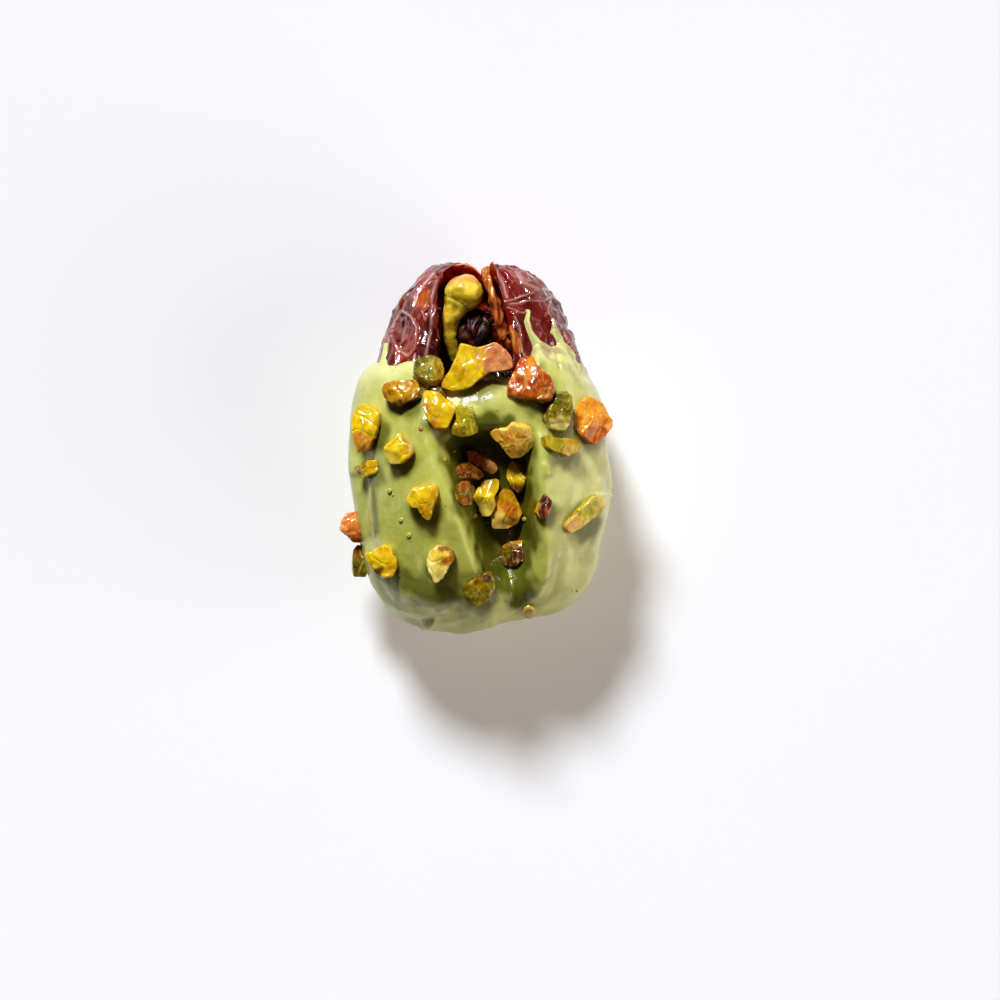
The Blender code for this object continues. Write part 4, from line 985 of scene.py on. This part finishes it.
def coatMaterial():
    look = coatLook
    material, tree, shader = newMaterial(
        "pistachioCoating", Roughness=0.36, Subsurface_Weight=0.2, Subsurface_Radius=(1.0, 0.9, 0.2),
        Subsurface_Scale=0.0005, Coat_Weight=0.4, Coat_Roughness=0.1,
    )
    drift = noise(tree, 260, 3.0, low=0.35, high=0.7)
    colour = blendColour(tree, drift, look["pistachio"], linear(190, 192, 100))
    streaky = math(tree, "MULTIPLY", noise(tree, 520, 4.0, (1.0, 0.22, 1.0), 0.52, 0.75), 0.35)
    colour = blendColour(tree, streaky, colour, look["pale"])
    # paler where the coat thins at the rim, and painted light on the right flank, low at the tail and along
    # lines of sheen
    colour = blendColour(tree, attribute(tree, "paleAndPaintedLight", "Fac"), colour, look["pale"])
    thin = math(tree, "MULTIPLY", attribute(tree, "thin", "Fac"), noise(tree, 700, 3.0, low=0.42, high=0.62))
    colour = blendColour(tree, math(tree, "MULTIPLY", thin, 0.6), colour, look["thinTint"])
    where = noise(tree, 420, 2.0, low=0.45, high=0.62)
    specks = math(tree, "SUBTRACT", 1.0, noise(tree, 1500, kind="voronoi", low=0.05, high=0.17))
    specks = math(tree, "MULTIPLY", math(tree, "MULTIPLY", specks, where), 0.4)
    colour = blendColour(tree, specks, colour, look["speck"])
    # painted shade: a deeper green in the trench, the groove, the hollow and below each nut
    colour = blendColour(tree, attribute(tree, "deep", "Fac"), colour, look["paintedShadeGreen"])
    paintShader(tree, shader, colour)
    bump(tree, shader, (noise(tree, 700, 3.0), 0.35, 0.0004), (noise(tree, 3600, 3.0), 0.15, 0.0001))
    return material


def makeCoating(spots):
    look = coatLook
    head, tail = dateForm["headY"], dateForm["tailY"]
    (start, end), (tailRows, rimRows, headRows) = look["rimZone"], look["rows"]
    lowEnd, highEnd = outlineSteps(tail, start, tailRows), outlineSteps(end, head, headRows)
    stations = np.concatenate([lowEnd[:-1], np.linspace(start, end, rimRows)[:-1], highEnd])
    shell = coatGrid(stations, look["rounds"], spots)
    outer = addMesh("coatShell", *joinGrids([shell]))
    rows, outside, inside = look["roomGrid"]
    room = dateGrid(outlineSteps(tail, head, rows), outside, inside, inflate=-look["gap"], slit=False)
    cutter = addMesh("coatRoom", *joinGrids([room]))
    cut = outer.modifiers.new("room", "BOOLEAN")
    cut.operation, cut.solver, cut.object = "DIFFERENCE", "MANIFOLD", cutter
    mesh = bpy.data.meshes.new_from_object(outer.evaluated_get(bpy.context.evaluated_depsgraph_get()))
    vertices, faces = largestBody(mesh)
    for helper in (outer, cutter):
        bpy.data.objects.remove(helper)
    x, y, z = vertices.T
    upper, high = smooth(0.0, 3.0, z - centreZ), smooth(2.0, 5.0, z - centreZ)
    rim = smooth(4.5, 0.5, coatInside(x, y, upper))
    # pale where the coat thins at the rim; painted light low at the tail and on the right flank
    paleAndPaintedLight = np.maximum(0.6 * rim, 0.12 * smooth(-18.0, -21.5, y))
    streaks = smooth(-0.4, 0.6, waves(x * 1.6, y * 0.5, z, 5.0, 27))
    paleAndPaintedLight = np.maximum(paleAndPaintedLight, smooth(8.0, 11.5, x) * (0.45 + 0.3 * streaks))
    # painted sheen: pale lines along the folds
    for path in look["sheenLines"]:
        line = hill(alongPath(x, y, path)[0], 0.3) * high
        paleAndPaintedLight = np.maximum(paleAndPaintedLight, 0.95 * line * smooth(-0.6, 0.3, waves(x, y, z, 1.8, 33)))
    # painted shade: a deeper green in the groove, the trench and the hollow low on the left
    uneven = 0.45 * waves(x, y, z, 2.4, 29)
    deep = 0.8 * hill(alongPath(x, y, look["groove"])[0], 0.4)
    for key, strength in (("trench", 0.9), ("hollow", 0.7)):
        gap, radius = alongPath(x, y, *look[key])
        deep = np.maximum(deep, strength * smooth(0.7, -0.8, gap - radius + uneven))
    for cx, cy, radius in spots:  # painted shadow: a deeper green below each nut, moved towards the side its shadow falls on
        gap = np.hypot(x - cx - 0.3, y - cy + 1.1) + uneven * 0.6
        deep = np.maximum(deep, 0.75 * smooth(radius + 0.9, radius * 0.7, gap))
    masks = {"thin": rim * smooth(4.0, 7.0, x), "paleAndPaintedLight": paleAndPaintedLight, "deep": deep * high}
    addPiece("pistachioCoating", "coating", vertices, faces, coatMaterial(), masks=masks)
    print("coating:", len(faces), "faces")


# Crumbs strewn on the coating
crumbLook = {
    "strewn": 45, "size": (0.08, 0.2), "corner": (-13.5, -19.0), "spread": (27.0, 26.5),
    "outline": ((6, 1), (3, 5), (-3, 4), (-6, 0), (-2, -5), (4, -4)), "outlineSize": 6.0, "tall": 1.2,
    "placed": (  # x, y, radius, tint
        (-9.7, -9.1, 0.34, "lime"), (-8.7, -11.0, 0.38, "lime"), (-11.1, -5.5, 0.34, "lime"),
        (-7.2, 2.2, 0.35, "rust"), (6.2, -20.4, 0.9, "gold"), (-4.2, -1.6, 0.3, "tan"),
        (1.0, -9.3, 0.4, "lime"), (2.1, -9.9, 0.3, "brown"), (-0.6, -8.6, 0.35, "rust"),
        (5.6, -9.0, 0.35, "orange"), (3.9, -16.2, 0.3, "olive"),
    ),
    "tints": ("lime", "olive", "lime", "green", "lime", "tan"), "grid": (7, 9),
}


def makeCrumbs(coarse):
    look, normals = crumbLook, normalsOf(coarse)
    rng = np.random.RandomState(9)
    crumbs = list(look["placed"])
    (left, low), (wide, long), (small, large) = look["corner"], look["spread"], look["size"]
    for x, y, share, pick in rng.uniform(0, 1, (look["strewn"], 4)):
        tint = look["tints"][int(pick * len(look["tints"]))]
        crumbs.append((left + wide * x, low + long * y, small + share**2 * (large - small), tint))
    corners = np.array(look["outline"])
    grids, paints = [], []
    for k, (x, y, radius, tint) in enumerate(crumbs):
        turn = np.radians(57 * k)
        turned = corners @ np.array(((np.cos(turn), np.sin(turn)), (-np.sin(turn), np.cos(turn))))
        outline, height = turned * radius / look["outlineSize"] / nutForm["step"], radius * look["tall"]
        middle, out = setOn(coarse, normals, x, y, height, 0.2, 0.02)
        points = nutSurface(middle, out, outline, height, 500 + k, *look["grid"])
        grids.append(points)
        colour = mixTint(nutTints[tint], coatLook["pistachio"], 0.8 if tint == "lime" else 0.35)
        paints.append(np.tile(colour, (len(gridVertices(points)), 1)))
    vertices, faces = joinGrids(grids)
    addPiece("nutCrumbs", "coating", vertices, faces, bpy.data.materials["nutFlesh"], np.vstack(paints))
    print("crumbs:", len(crumbs))


# Floor, light and camera
stageLook = {
    "floor": linear(206, 207, 211), "sunWay": (-0.232, 0.674, 0.702), "sunSize": 0.23, "sunPower": 2.9,
    "sunColour": (0.92, 0.97, 1.02), "sky": (0.035, 0.032, 0.024),
    "fillWay": (0.9, -0.3, 0.3), "fillSize": 1.1, "fillPower": 1.15, "fillColour": (1.0, 0.94, 0.88),
    "floorGlow": (0.205, 0.184, 0.173), "pixelsPerMm": 8.0, "photoPixels": 1000.0, "distance": 900.0,
    "middle": (2.5625, -6.625, 12.0), "sensor": 36.0, "floorReach": 2.0,
}


def makeStage():
    look = stageLook
    floor = bpy.data.meshes.new("floor")
    far = look["floorReach"]
    floor.from_pydata([(-far, -far, 0), (far, -far, 0), (far, far, 0), (-far, far, 0)], [], [(0, 1, 2, 3)])
    table = bpy.data.objects.new("floor", floor)
    bpy.context.scene.collection.objects.link(table)
    material, tree, shader = newMaterial(
        "paleFloor", Roughness=0.6, Specular_IOR_Level=0.2, Emission_Color=(*look["floorGlow"], 1.0),
        Emission_Strength=1.0,
    )
    soft = blendColour(tree, noise(tree, 30, 2.0), look["floor"], look["floor"] * 0.985)
    paintShader(tree, shader, soft)
    floor.materials.append(material)
    for name in ("sun", "fill"):
        light = bpy.data.lights.new(name, "SUN")
        light.energy, light.angle = look[name + "Power"], look[name + "Size"]
        light.color = look[name + "Colour"]
        lamp = bpy.data.objects.new(name, light)
        bpy.context.scene.collection.objects.link(lamp)
        way = np.array(look[name + "Way"])
        lamp.rotation_euler = (np.arccos(way[2] / np.linalg.norm(way)), 0.0, np.arctan2(way[0], -way[1]))
    world = bpy.data.worlds.new("sky")
    world.use_nodes = True
    world.node_tree.nodes["Background"].inputs["Color"].default_value = (*look["sky"], 1.0)
    bpy.context.scene.world = world
    lens = bpy.data.cameras.new("camera")
    lens.sensor_width = look["sensor"]
    lens.lens = look["sensor"] * look["distance"] / (look["photoPixels"] / look["pixelsPerMm"])
    eye = bpy.data.objects.new("camera", lens)
    x, y, z = (np.array(look["middle"]) + placeShift) * 0.001
    eye.location = (x, y, z + look["distance"] * 0.001)
    bpy.context.scene.collection.objects.link(eye)
    bpy.context.scene.camera = eye
    bpy.context.scene.view_settings.view_transform = "Standard"
    bpy.context.scene.view_settings.look = "High Contrast"
    print("stage set")


coarseRows, coarseRounds = coatLook["coarseGrid"]
coarseCoat = coatGrid(outlineSteps(dateForm["tailY"], dateForm["headY"], coarseRows), coarseRounds)
makeDate()
makeFibres()
makeKernels()
nutSpots = makeNuts(coarseCoat)
makeCoating(nutSpots)
makeCrumbs(coarseCoat)
makeStage()
